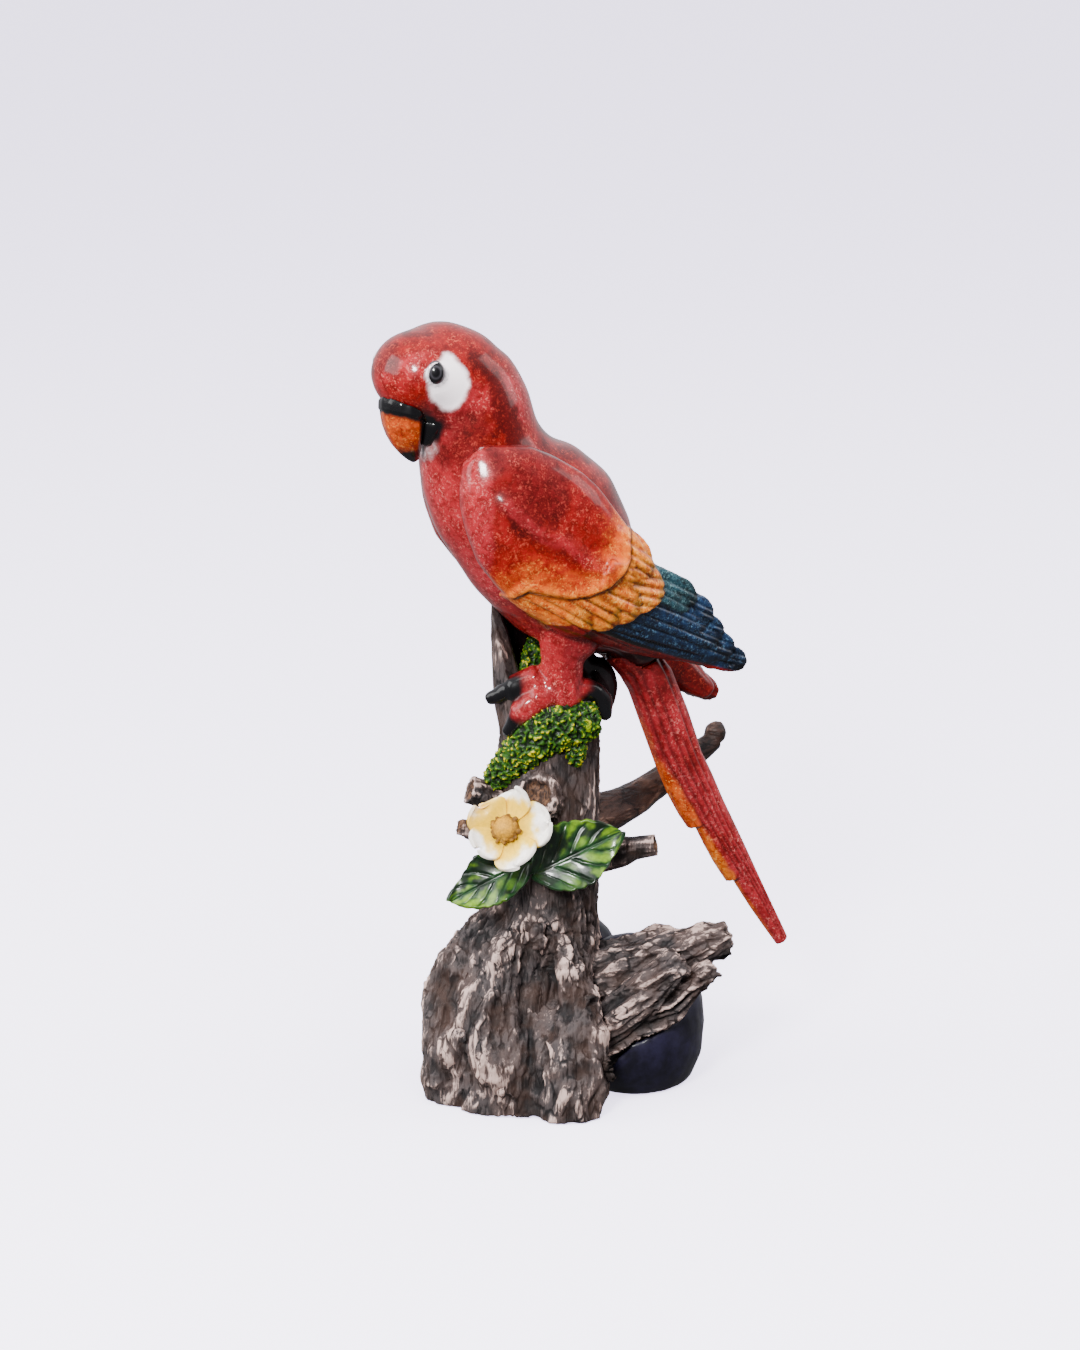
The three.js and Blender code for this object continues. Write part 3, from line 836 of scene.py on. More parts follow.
@dataclass
class BirdBody:
    """Head, neck, body and legs, cast as one skin and parted where the legs begin."""

    voxel: float = 0.62
    patch_bearing: float = 64.0  # degrees round the skull from the beak to the white face patch
    patch_half: Spot = (5.5, 7.9)
    leg_top: float = 141.0  # nothing above this height belongs to a leg
    grain: Grain = Grain(11)
    # path of a dark red band of painted shade down the back of the neck
    streak: tuple[Point, ...] = ((-30, 0, 102), (-24, 0, 96), (-22.5, 0, 90), (-20, 0, 83), (-17, 0, 74))
    claws: tuple[tuple[Point, Point, float, float], ...] = (
        ((-13.5, -9.4, 126.0), (-22.0, -8.4, 122.0), 4.2, 3.8),
        ((-19.0, -8.8, 123.2), (-28.6, -6.6, 118.4), 3.9, 1.9),
        ((-13.0, -12.0, 121.0), (-20.0, -12.6, 115.2), 4.0, 3.6),
        ((-17.6, -12.4, 117.4), (-23.2, -11.8, 109.6), 3.6, 2.0),
        ((0.0, -6.6, 121.5), (6.0, -3.6, 112.0), 2.9, 1.6),
        ((2.0, 8.6, 125.4), (7.2, 7.0, 118.4), 3.6, 2.6),
    )
    dark_toes: tuple[tuple[Point, Point], ...] = (
        ((-20.6, -9.0, 122.6), (-29.0, -4.2, 117.4)),
        ((-22.2, -11.4, 112.4), (-24.0, -10.6, 107.0)),
        ((1.5, -5.6, 120.0), (6.0, -3.0, 112.0)),
        ((-16.6, 13.0, 117.0), (-19.0, 13.8, 113.0)),
    )

    def build(self, glaze: Finish) -> None:
        """Casts, shapes, paints and parts the body."""
        cast = self.cast()
        clay = Clay(cast)
        self.shape(clay)
        self.colour(clay)
        self.part(clay, glaze)

    def cast(self) -> Piece:
        """Fuses the torso with both legs and plugs, which close the vent and fill the hollow inside."""
        pieces = [self.trunk(), copy_of("leg_left", 0.7), copy_of("leg_right", 0.6)]
        pieces += [add_cone(*claw, CLAW_SIDES) for claw in self.claws]
        pieces += [copy_of("eye_left", 0.1), copy_of("eye_right", 0.1)]
        pieces += self.thighs()
        cast = fuse(pieces, "torso_skin", self.voxel)
        soften(cast, 5)
        soften(cast, 7, Clay(cast).points[:, 2] < 131.0)
        return cast

    def trunk(self) -> Piece:
        """The torso, its vent closed, its nape filled, and rubbed down until it flows."""
        plug = BIRD.out(np.array([[-5.5, 0.0, 35.0]]))[0]
        nape = BIRD.out(np.array([[-31.0, 0.0, 96.0], [-27.0, 0.0, 88.0]]))
        pieces = [copy_of("torso", 0.5), add_ball(plug, (6.4, 6.4, 9.0))]
        pieces += [add_ball(nape[0], (14.2, 14.0, 13.0)), add_ball(nape[1], (15.2, 15.0, 12.0))]
        trunk = fuse(pieces, "trunk", 1.1)
        soften(trunk, 44)
        return trunk

    def thighs(self) -> list[Piece]:
        """Swellings that carry each leg smoothly into the belly."""
        low_left, high_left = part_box("leg_left")
        low_right, high_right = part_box("leg_right")
        left = (-4.6, -6.6, high_left.z / MM - 3.0)
        right = (-3.4, 8.8, high_right.z / MM - 2.0)
        return [add_ball(left, (8.6, 7.6, 9.0)), add_ball(right, (8.0, 7.4, 8.0))]

    def patch_place(self, head: np.ndarray) -> tuple[np.ndarray, np.ndarray]:
        """Where each point of the head lies on its side's face patch: round the skull, and up."""
        bearing = np.degrees(np.arctan2(np.abs(head[:, 1]), -(head[:, 0] - 2.0)))
        around = np.radians(bearing - self.patch_bearing) * 15.0
        return around, head[:, 2] - 1.6

    def eye_gap(self, head: np.ndarray) -> np.ndarray:
        """Distance from the nearer eye's middle."""
        spot = np.array([-8.6, 13.9, 4.5])
        mirrored = np.stack([head[:, 0], np.abs(head[:, 1]), head[:, 2]], axis=1)
        return np.linalg.norm(mirrored - spot, axis=1)

    def shape(self, clay: Clay) -> None:
        """Works the face, the toes and the faint lumps of a hand-finished cast."""
        head = HEAD.into(clay.points)
        bird = BIRD.into(clay.points)
        around, up = self.patch_place(head)
        near_head = ease(60.0, 70.0, bird[:, 2])
        inside = np.hypot(around / self.patch_half[0], up / self.patch_half[1])
        depth = -0.35 * (1.0 - ease(0.82, 1.08, inside)) * near_head
        ring = self.eye_gap(head)
        wrinkles = np.cos((ring - 3.3) * 2.0 * math.pi / 1.15) * hill(ring - 4.3, 1.5)
        depth += near_head * (0.5 * hill(ring - 3.3, 0.55) + 0.13 * wrinkles)
        depth += 0.25 * (self.grain.cloud(clay.points, 14.0, 2) - 0.5)
        clay.push(depth)
        self.knuckles(clay)

    def knuckles(self, clay: Clay) -> None:
        """Rings the toes with soft folds."""
        below = clay.points[:, 2] < 127.0
        folds = np.cos(clay.points[:, 0] * 2.0 * math.pi / 3.6) * 0.1
        clay.push(np.where(below, folds * ease(127.0, 123.0, clay.points[:, 2]), 0.0))

    def colour(self, clay: Clay) -> None:
        """Paints the plumage, the face and the claws, with painted shade on the neck and feet and a painted
        reflection under the chin.
        """
        head, bird = HEAD.into(clay.points), BIRD.into(clay.points)
        wobble = self.grain.cloud(clay.points, 3.0, 3) - 0.5
        broad = self.grain.cloud(clay.points, 16.0, 3)
        coat = Coat(len(clay.points), Stain.RED)
        patches = self.grain.cloud(clay.points + 40.0, 7.0, 3)
        coat.lay(Stain.ROSE, ease(0.40, 0.62, broad) * 0.8)
        coat.lay(Stain.CRIMSON, ease(0.56, 0.70, patches) * 0.75)
        coat.lay(Stain.ROSE, ease(78.0, 66.0, bird[:, 2]) * ease(-16.0, -30.0, bird[:, 0]) * 0.55)
        # painted shade: darker red down the nape and on the neck below the back of the head, where its
        # creases fall into shade
        place, gap = along_path(bird * np.array([1.0, 0.0, 1.0]), self.streak)
        coat.lay(Stain.CRIMSON, ease(2.9, 1.2, gap - place * 0.55 + wobble * 3.0) * 0.95, 0.6)
        neck_shade = np.hypot(bird[:, 0] + 31.0, (bird[:, 2] - 79.0) * 0.8)
        coat.lay(Stain.CRIMSON, ease(12.0, 4.0, neck_shade + wobble * 8) * 0.7)
        self.face(coat, head, bird, wobble)
        self.feet(coat, clay.points, wobble)
        coat.keep_on(clay)

    def face(self, coat: Coat, head: np.ndarray, bird: np.ndarray, wobble: np.ndarray) -> None:
        """Lays the white patch, the dark mouth and a pale painted reflection under the chin."""
        upper = ease(64.0, 70.0, bird[:, 2])
        # painted reflection: pale white laid under the chin, standing for the glaze mirroring the bright room
        # there
        chin_reflection = np.linalg.norm((bird - np.array([-40.5, 0.0, 77.0])) / np.array([4.0, 7.0, 4.6]), axis=1)
        coat.lay(Stain.WHITE, ease(1.25, 0.55, chin_reflection + wobble) * 0.62, 0.4)
        around, up = self.patch_place(head)
        inside = np.hypot(around / self.patch_half[0], up / self.patch_half[1])
        coat.lay(Stain.WHITE, ease(1.12, 0.84, inside + wobble * 0.35) * upper, 0.0)
        ring = self.eye_gap(head)
        coat.lay(Stain.WHITE, ease(4.1, 3.5, ring + wobble) * upper, 0.0)
        coat.lay(Stain.SMOKE, hill(ring - 3.0, 0.3) * 0.8 * upper, 0.0)
        coat.lay(Stain.SMOKE, hill(ring - 3.8, 0.22) * 0.5 * upper, 0.0)
        coat.lay(Stain.INK, ease(3.0, 2.5, ring) * upper * 0.9, 0.0)
        mouth = np.linalg.norm((head - np.array([-6.0, 0.0, -10.5])) / np.array([7.5, 11.0, 6.0]), axis=1)
        coat.lay(Stain.INK, ease(1.22, 0.86, mouth + wobble * 0.5), 0.2)

    def feet(self, coat: Coat, points: np.ndarray, wobble: np.ndarray) -> None:
        """Darkens the claws, and paints shade over the far right foot and behind the left foot."""
        height = points[:, 2]
        coat.lay(Stain.ROSE, ease(146.0, 136.0, height + wobble * 8.0) * 0.55 * ease(112.0, 114.0, height))
        for toe in self.dark_toes:
            _, gap = along_path(points, toe)
            coat.lay(Stain.CRIMSON, ease(7.0, 4.6, gap + wobble * 4.0) * 0.7, 0.5)
            coat.lay(Stain.INK, ease(5.2, 3.6, gap + wobble * 3.0), 0.15)
        # painted shade: the far right foot, tucked under the body, laid near black
        right = ease(2.0, 5.0, points[:, 1]) * ease(140.0, 128.0, height)
        coat.lay(Stain.INK, right * 0.92, 0.15)
        # painted shade behind the left foot, between the legs
        behind = ease(-2.5, 2.5, points[:, 0]) * ease(136.0, 129.0, height) * ease(-11.0, -6.0, points[:, 1])
        coat.lay(Stain.INK, behind * 0.9, 0.3)

    def part(self, clay: Clay, glaze: Finish) -> None:
        """Cuts the skin where each leg begins, and keeps the smooth shading across the cut."""
        cast = clay.piece
        kept = cast.data.attributes.new("cast_normal", "FLOAT_VECTOR", "POINT")
        kept.data.foreach_set("vector", clay.normals().astype(np.float32).ravel())
        legs = ("leg_left", "leg_right")
        to_torso = gaps_to(clay.points, "torso")
        owner = np.zeros(len(clay.points), np.int32)
        for code, node in enumerate(legs, 1):
            nearer = gaps_to(clay.points, node) < to_torso
            owner[nearer & (clay.points[:, 2] < self.leg_top)] = code
        tag = cast.data.attributes.new("owner", "INT", "POINT")
        tag.data.foreach_set("value", owner)
        done = {"torso": cast}
        for code, node in enumerate(legs, 1):
            done[node] = self.cut(cast, code, f"{node}_skin")
        for node, piece in done.items():
            self.restore(piece)
            finish_piece(piece, glaze, "red_glaze", node)

    @staticmethod
    def cut(cast: Piece, code: int, name: str) -> Piece:
        """Splits off the faces whose points all carry one owner's code."""
        owner = np.zeros(len(cast.data.vertices), np.int32)
        cast.data.attributes["owner"].data.foreach_get("value", owner)
        pick(cast)
        bpy.ops.object.mode_set(mode="EDIT")
        bpy.ops.mesh.select_all(action="DESELECT")
        bpy.ops.object.mode_set(mode="OBJECT")
        chosen = np.array([all(owner[v] == code for v in face.vertices) for face in cast.data.polygons])
        cast.data.polygons.foreach_set("select", chosen)
        bpy.ops.object.mode_set(mode="EDIT")
        bpy.ops.mesh.separate(type="SELECTED")
        bpy.ops.object.mode_set(mode="OBJECT")
        split = next(piece for piece in bpy.context.selected_objects if piece != cast)
        split.name = name
        split.data.name = name
        return split

    @staticmethod
    def restore(piece: Piece) -> None:
        """Gives a parted piece the shading it had in the whole skin."""
        layer = piece.data.attributes["cast_normal"]
        flat = np.zeros(len(layer.data) * 3, np.float32)
        layer.data.foreach_get("vector", flat)
        piece.data.normals_split_custom_set_from_vertices(flat.reshape(-1, 3).tolist())
        for name in ("cast_normal", "owner"):
            piece.data.attributes.remove(piece.data.attributes[name])


@dataclass(frozen=True)
class Feather:
    """One feather of a folded wing, drawn on the wing's side view in the bird's frame."""

    root: tuple[float, float]
    tip: tuple[float, float]
    half: float
    lift: tuple[float, float]
    stain: Stain
    bow: float = 0.0
    quills: int = 2
    round_from: float = 0.72
    root_width: float = 0.6

    def axes(self) -> tuple[np.ndarray, np.ndarray, np.ndarray]:
        """The feather's root, its run from root to tip, and the unit step across it."""
        root, tip = np.array(self.root), np.array(self.tip)
        run = tip - root
        return root, run, np.array([-run[1], run[0]]) / np.linalg.norm(run)

    def outline(self, a: np.ndarray, b: np.ndarray) -> np.ndarray:
        """Points of the side view at share `a` along the feather and `b`, -1 to 1, across it."""
        root, run, across = self.axes()
        width = self.half * (self.root_width + (1.0 - self.root_width) * ease(0.0, 0.45, a))
        nose = np.clip((a - self.round_from) / (1.0 - self.round_from), 0.0, 1.0)
        width = width * np.sqrt(np.clip(1.0 - nose**2.2, 0.0, 1.0))
        spread = b * width + self.bow * np.sin(a * math.pi)
        return root + a[:, None] * run + spread[:, None] * across

    def place_of(self, side: np.ndarray) -> tuple[np.ndarray, np.ndarray]:
        """Share along the feather, and share across it, of points of the side view."""
        root, run, across = self.axes()
        a = (side - root) @ run / (run @ run)
        b = ((side - root) @ across - self.bow * np.sin(np.clip(a, 0, 1) * math.pi)) / self.half
        return a, b

    def quill_lines(self) -> list[float]:
        """Where across the feather each quill runs, -1 to 1."""
        return [((quill + 1.0) / (self.quills + 1.0) * 2.0 - 1.0) * 0.86 for quill in range(self.quills)]


@dataclass
class Wing:
    """A folded wing: a domed shoulder shell over coverts over long flight feathers."""

    side: int  # -1 is the bird's left, which faces the front
    droop: float
    voxel: float = 0.42
    grain: Grain = Grain(23)
    feathers: tuple[Feather, ...] = (
        Feather((-6, 30), (53, 6.2), 2.6, (0.2, 0.4), Stain.INK, -1.2, 1, 0.86),
        Feather((-4, 31), (53.5, 7.6), 3.9, (0.3, 0.7), Stain.BLUE, -0.8, 3, 0.86),
        Feather((0, 34), (49.2, 11.4), 4.3, (0.5, 1.1), Stain.BLUE, 0.0, 3, 0.86),
        Feather((2, 37), (45.2, 16.2), 4.6, (0.8, 1.6), Stain.BLUE, 0.4, 4, 0.86),
        Feather((3, 40), (41.2, 22.2), 4.9, (1.1, 2.1), Stain.BLUE, 0.8, 4, 0.86),
        Feather((4, 43), (35.2, 28.2), 4.6, (1.4, 2.6), Stain.TEAL, 1.0, 3, 0.84),
        Feather((-22, 38), (0.6, 24.6), 4.4, (-0.6, 1.7), Stain.AMBER, 0.4, 2, 0.8, 0.8),
        Feather((-16, 41), (8.6, 26.2), 4.8, (-1.0, 2.1), Stain.AMBER, 0.2, 2, 0.8, 0.8),
        Feather((-12, 43), (15.4, 28.4), 6.0, (-1.0, 2.4), Stain.AMBER, 0.0, 2, 0.74, 0.8),
        Feather((-2, 52), (20.6, 40.4), 6.0, (-2.5, 2.6), Stain.AMBER, 1.2, 3, 0.62, 0.8),
        Feather((-8, 44), (23.4, 32.6), 8.0, (-2.0, 3.0), Stain.AMBER, -0.6, 4, 0.60, 0.8),
    )
    shoulder_edge: tuple[Spot, ...] = (
        *((-21, 35.5), (-18.3, 37.6), (-12.1, 36), (-6.5, 34.7), (-0.9, 35.1)),
        *((4.9, 37), (9.6, 40.7), (12.2, 44.4), (12.6, 48.6), (14, 54)),
    )
    covert_edge: tuple[Spot, ...] = ((-10, 27), (0, 28), (8, 30), (16, 33.5), (20, 38), (22, 60))
    fold: tuple[Spot, ...] = ((-25, 63), (-17, 55), (-9, 51), (-2, 45), (5, 43))

    @property
    def node(self) -> str:
        """The frame node that this wing stands for."""
        return "wing_left" if self.side < 0 else "wing_right"

    def build(self, glaze: Finish) -> None:
        """Drapes the feathers on the blade, fuses, shapes and paints them."""
        blade = cast_anew(self.node, f"{self.node}_blade", 0.7, 0.9, 16)
        skin = blade.skin(BIRD)
        if self.side > 0:  # the far wing's topmost covert lies flat under the back
            self.feathers = self.feathers[:9] + self.feathers[10:]
        drapes = [self.drape(feather, skin, i) for i, feather in enumerate(self.feathers)]
        sources = [Clay(drape).skin(BIRD) for drape in drapes]
        wing = fuse([blade.piece, *drapes], f"{self.node}_skin", self.voxel)
        soften(wing, 3)
        soften(wing, 24, self.shoulder(Clay(wing)) > 1.0)
        clay = Clay(wing)
        self.raise_shoulder(clay)
        self.colour(clay, sources)
        finish_piece(wing, glaze, "feather_glaze", self.node)

    def side_view(self, clay: Clay) -> np.ndarray:
        """Each point's place on the side view that the feathers are drawn on."""
        bird = BIRD.into(clay.points)
        return np.stack([bird[:, 0], bird[:, 2] + self.sag(bird[:, 0])], axis=1)

    def shoulder(self, clay: Clay) -> np.ndarray:
        """How far inside the shoulder shell each point is, and below 0 outside it."""
        flat = self.side_view(clay)
        _, gap = along_path(flat, self.shoulder_edge)
        edge = np.array(self.shoulder_edge, float)
        floor = np.interp(flat[:, 0], edge[:, 0], edge[:, 1])
        inside = (flat[:, 1] > floor) & (flat[:, 0] < edge[-1, 0])
        return np.where(inside, gap, -gap)

    def raise_shoulder(self, clay: Clay) -> None:
        """Lifts the shoulder shell off the feathers behind it, with a rounded lip."""
        bird = BIRD.into(clay.points)
        facing = BIRD.turn_in(clay.normals())[:, 1] * self.side
        inside = self.shoulder(clay)
        _, gap = along_path(self.side_view(clay), self.fold)
        step = 1.35 * ease(-0.2, 0.7, inside) + 0.3 * hill(inside - 1.4, 1.2)
        step += (0.55 * hill(gap, 2.6) - 0.4 * hill(gap - 4.4, 2.2)) * ease(2.0, 6.0, inside)
        bird[:, 1] += self.side * step * ease(0.0, 0.45, facing)
        clay.place(BIRD.out(bird))

    def sag(self, x: np.ndarray) -> np.ndarray:
        """How far the wing has dropped at each place along it."""
        return self.droop * np.interp(x, [2.0, 16.0, 32.0, 49.5], [0.0, 0.3, 0.7, 1.0])

    def drape(self, feather: Feather, skin: BVHTree, index: int) -> Piece:
        """Lays one feather over the wing.

        Args:
            feather: Its outline, and its lift above the blade at root and tip.
            skin: The blade's surface, in the bird's frame.
            index: Its number, for its name.

        Returns:
            The feather, as a thin closed shell.
        """
        clay, a, b = new_sheet(f"{self.node}_feather_{index}", 44, 30)
        flat = feather.outline(a, b)
        x, z = flat[:, 0], flat[:, 1] - self.sag(flat[:, 0])
        lateral = np.array([self.depth_at(skin, *spot) for spot in zip(x, z)])
        lift = feather.lift[0] + (feather.lift[1] - feather.lift[0]) * ease(0.0, 1.0, a)
        crown = 0.55 * (1.0 - b**2)
        lines = np.zeros(len(a))
        for line in feather.quill_lines():
            lines += hill(b - line, 0.085) * 0.75 * ease(0.1, 0.4, a)
        out = lateral + lift + crown - lines
        clay.place(BIRD.out(np.stack([x, out * self.side, z], axis=1)))
        apply_modifier(clay.piece, "SOLIDIFY", thickness=1.5 * MM, offset=0.0)
        return clay.piece

    def depth_at(self, skin: BVHTree, x: float, z: float) -> float:
        """How far out the blade's outer face is at a place of the side view, in millimetres."""
        hit = skin.ray_cast(Vector((x, 70.0 * self.side, z)), Vector((0.0, -self.side, 0.0)))
        if hit[0] is not None:
            return abs(hit[0].y)
        near = skin.find_nearest(Vector((x, 15.0 * self.side, z)))
        return abs(near[0].y)

    def colour(self, clay: Clay, sources: Sequence[BVHTree]) -> None:
        """Paints each point from the feather that it lies on."""
        bird = BIRD.into(clay.points)
        facing = BIRD.turn_in(clay.normals())[:, 1] * self.side
        reach = np.array([[tree.find_nearest(Vector(p))[3] for tree in sources] for p in bird])
        owner = np.argmin(reach - np.arange(len(sources)) * 0.02, axis=1)
        flat = self.side_view(clay)
        wobble = self.grain.cloud(clay.points, 2.4, 3) - 0.5
        coat = Coat(len(bird), Stain.RED)
        edge_line = np.zeros(len(bird))
        for index, feather in enumerate(self.feathers):
            mine = (owner == index).astype(float)
            a, b = feather.place_of(flat)
            coat.lay(feather.stain, mine)
            self.touch(coat, feather.stain, mine, a, b, wobble)
            for line in feather.quill_lines():
                edge_line += mine * hill(b - line, 0.07) * ease(0.1, 0.4, a)
        inside = self.shoulder(clay)
        ordered = np.sort(reach, axis=1)
        seam = ease(0.5, 0.1, ordered[:, 1] - ordered[:, 0]) * ease(0.3, 0.6, facing) * 0.5
        seam = np.where(inside > 0.0, 0.0, np.maximum(seam, hill(inside + 0.3, 0.45) * 0.75))
        above = flat[:, 1] - np.interp(flat[:, 0], *np.array(self.covert_edge).T)
        covert = ease(-0.4, 0.4, above) * (inside < 0.0)
        coat.lay(Stain.AMBER, covert * np.isin(owner, range(6)))
        edge_line = np.where(inside > 0.0, 0.0, edge_line)
        coat.darken(np.clip(edge_line * 0.4 + seam, 0.0, 0.8))
        clay.push(-0.5 * np.clip(edge_line, 0.0, 1.0) * ease(0.2, 0.6, facing))
        self.colour_shoulder(coat, clay, inside, flat, wobble)
        lower = np.interp(flat[:, 0], [-5.0, 0.4, 16.0, 33.0, 53.0], [26.5, 24.8, 17.4, 10.8, 4.0])
        under = np.maximum(ease(0.15, -0.25, facing + wobble * 0.3), ease(0.4, -0.2, flat[:, 1] - lower))
        coat.lay(Stain.RED, under)
        coat.lay(Stain.CRIMSON, under * 0.4)
        coat.keep_on(clay)

    def colour_shoulder(
        self, coat: Coat, clay: Clay, inside: np.ndarray, flat: np.ndarray, wobble: np.ndarray
    ) -> None:
        """Deep red in front and above, turning orange towards the shell's lower edge."""
        on = ease(-0.05, 0.25, inside)
        broad = self.grain.cloud(clay.points, 13.0, 3)
        high = ease(16.0, 26.0, inside + wobble * 8.0 + (broad - 0.5) * 16.0)
        coat.lay(Stain.RED, on, 0.9)
        coat.lay(Stain.EMBER, on * ease(17.0, 9.0, inside + (broad - 0.5) * 18.0))
        coat.lay(Stain.CRIMSON, on * ease(0.60, 0.46, broad) * ease(6.0, 13.0, inside) * 0.9)
        coat.lay(Stain.ORANGE, on * ease(12.0, 3.0, inside + wobble * 9.0 + (broad - 0.5) * 8.0) * 0.9)
        coat.lay(Stain.AMBER, on * ease(3.6, 0.2, inside + wobble * 6.0) * 0.5)
        _, gap = along_path(flat, self.fold)
        coat.lay(Stain.ROSE, on * ease(2.4, 0.6, gap + wobble * 3.0) * 0.45)
        front = ease(-27.5, -30.0, flat[:, 0] + wobble * 2.0)
        coat.lay(Stain.ROSE, on * np.maximum(high * 0.15, front) * 0.8)

    @staticmethod
    def touch(
        coat: Coat, stain: Stain, mine: np.ndarray, a: np.ndarray, b: np.ndarray, wobble: np.ndarray
    ) -> None:
        """Adds the second colours of one feather."""
        if stain is Stain.AMBER:
            coat.lay(Stain.ORANGE, mine * ease(1.0, 0.3, a + wobble * 1.6) * 0.75)
            rim = np.maximum(ease(0.86, 1.0, a + wobble * 0.3), ease(0.85, 1.1, np.abs(b)))
            coat.lay(Stain.OLIVE, mine * rim * 0.55)
        else:
            coat.lay(Stain.INK, mine * ease(0.86, 1.0, a + wobble * 0.15) * 0.75)
            coat.lay(Stain.INK, mine * ease(0.2, 0.75, wobble + 0.5) * 0.25)


@dataclass
class Tail:
    """The long hanging tail, grooved along its length where its feathers overlap."""

    voxel: float = 0.42
    grain: Grain = Grain(31)
    line: tuple[Spot, ...] = ((16, 16), (24.6, 6), (34.5, -16.8), (44, -34), (52, -50), (62, -67), (71, -83))
    # each groove: its share across the tail, and where along the tail it starts and ends
    grooves: tuple[Point, ...] = (
        (0.62, 0.1, 1.0),
        (0.3, 0.3, 1.0),
        (0.0, 0.16, 0.98),
        (-0.34, 0.1, 0.8),
        (-0.66, 0.1, 0.62),
    )

    def build(self, glaze: Finish) -> None:
        """Casts, grooves and paints the tail."""
        clay = cast_anew("tail", "tail_skin", 0.15, self.voxel, 6)
        place, across = self.chart(clay)
        lines = self.groove(place, across)
        clay.push(-(lines * 0.5))
        self.colour(clay, place, across, lines)
        finish_piece(clay.piece, glaze, "red_glaze", "tail")

    def chart(self, clay: Clay) -> tuple[np.ndarray, np.ndarray]:
        """Each point's place along the tail, and across it from the underside to the back."""
        flat = BIRD.into(clay.points)[:, [0, 2]]
        place, _ = along_path(flat, self.line)
        corners = np.array(self.line, float)
        run = np.minimum(place.astype(int), len(corners) - 2)
        step = corners[run + 1] - corners[run]
        step /= np.linalg.norm(step, axis=1)[:, None]
        normal = np.stack([-step[:, 1], step[:, 0]], axis=1)
        across = np.einsum("ij,ij->i", flat - corners[run], normal)
        return place / (len(corners) - 1.0), across

    @staticmethod
    def spread(place: np.ndarray) -> np.ndarray:
        """Half the tail's width at each place along it, in millimetres."""
        return np.interp(place, [0.0, 0.35, 0.6, 1.0], [7.6, 7.4, 5.0, 2.2])

    def groove(self, place: np.ndarray, across: np.ndarray) -> np.ndarray:
        """How deep each point lies in a groove between feathers, 0 to 1."""
        share = across / self.spread(place)
        drift = 0.12 * np.sin(place * 9.0)
        lines = np.zeros(len(place))
        for centre, start, end in self.grooves:
            shown = ease(start, start + 0.06, place) * ease(end + 0.02, end - 0.04, place)
            lines = np.maximum(lines, hill(share - centre - drift, 0.07) * shown)
        return lines

    def colour(self, clay: Clay, place: np.ndarray, across: np.ndarray, shade: np.ndarray) -> None:
        """Red with a warm lower edge and darker grooves."""
        wobble = self.grain.cloud(clay.points, 2.6, 3) - 0.5
        broad = self.grain.cloud(clay.points, 11.0, 3)
        coat = Coat(len(place), Stain.RED)
        coat.lay(Stain.ROSE, ease(0.35, 0.7, broad + place * 0.25) * 0.8)
        edge = ease(-0.66, -0.98, across / self.spread(place) + wobble * 0.3)
        coat.lay(Stain.ORANGE, edge * ease(0.16, 0.3, place) * 0.9)
        coat.lay(Stain.AMBER, edge * hill(place - 0.72, 0.08) * 0.6)
        coat.lay(Stain.CRIMSON, ease(0.26, 0.12, place + wobble * 0.15) * 0.8)
        coat.darken(shade * 0.5)
        coat.keep_on(clay)


@dataclass
class Beak:
    """The hooked upper beak and the short lower one."""

    voxel: float = 0.3
    grain: Grain = Grain(41)

    def build(self, glaze: Finish) -> None:
        """Casts, shapes and paints both halves."""
        for node, paint in (("beak_upper", self.upper), ("beak_lower", self.lower)):
            clay = cast_anew(node, f"{node}_skin", 0.55, self.voxel, 26)
            paint(clay)
            slot = "beak_glaze" if node == "beak_upper" else "black_glaze"
            finish_piece(clay.piece, glaze, slot, node)

    def upper(self, clay: Clay) -> None:
        """An orange hook between a black cere and a black tip."""
        head = HEAD.into(clay.points)
        wobble = self.grain.cloud(clay.points, 1.8, 3) - 0.5
        ridge = hill(head[:, 1], 1.2) * ease(-4.0, -9.0, head[:, 2]) * 0.3
        step = -0.45 * ease(-7.6, -8.4, head[:, 2] + 0.25 * head[:, 0] + 2.6)
        clay.push(ridge + step)
        coat = Coat(len(head), Stain.ORANGE)
        coat.lay(Stain.EMBER, np.full(len(head), 0.4))
        coat.lay(Stain.CRIMSON, hill(wobble, 0.12) * 0.4)
        slope = head[:, 2] + 0.30 * (head[:, 0] + 10.0)
        coat.lay(Stain.INK, ease(-10.1, -8.7, slope + wobble * 1.4), 0.1)
        coat.lay(Stain.INK, ease(-17.4, -19.4, head[:, 2] + wobble * 1.6), 0.3)
        rear = ease(-9.9, -8.1, head[:, 0] + 0.12 * (head[:, 2] + 10.0) + wobble * 1.2)
        coat.lay(Stain.INK, rear, 0.1)
        coat.keep_on(clay)

    def lower(self, clay: Clay) -> None:
        """All black."""
        coat = Coat(len(clay.points), Stain.INK)
        coat.speckle[:] = 0.1
        coat.keep_on(clay)


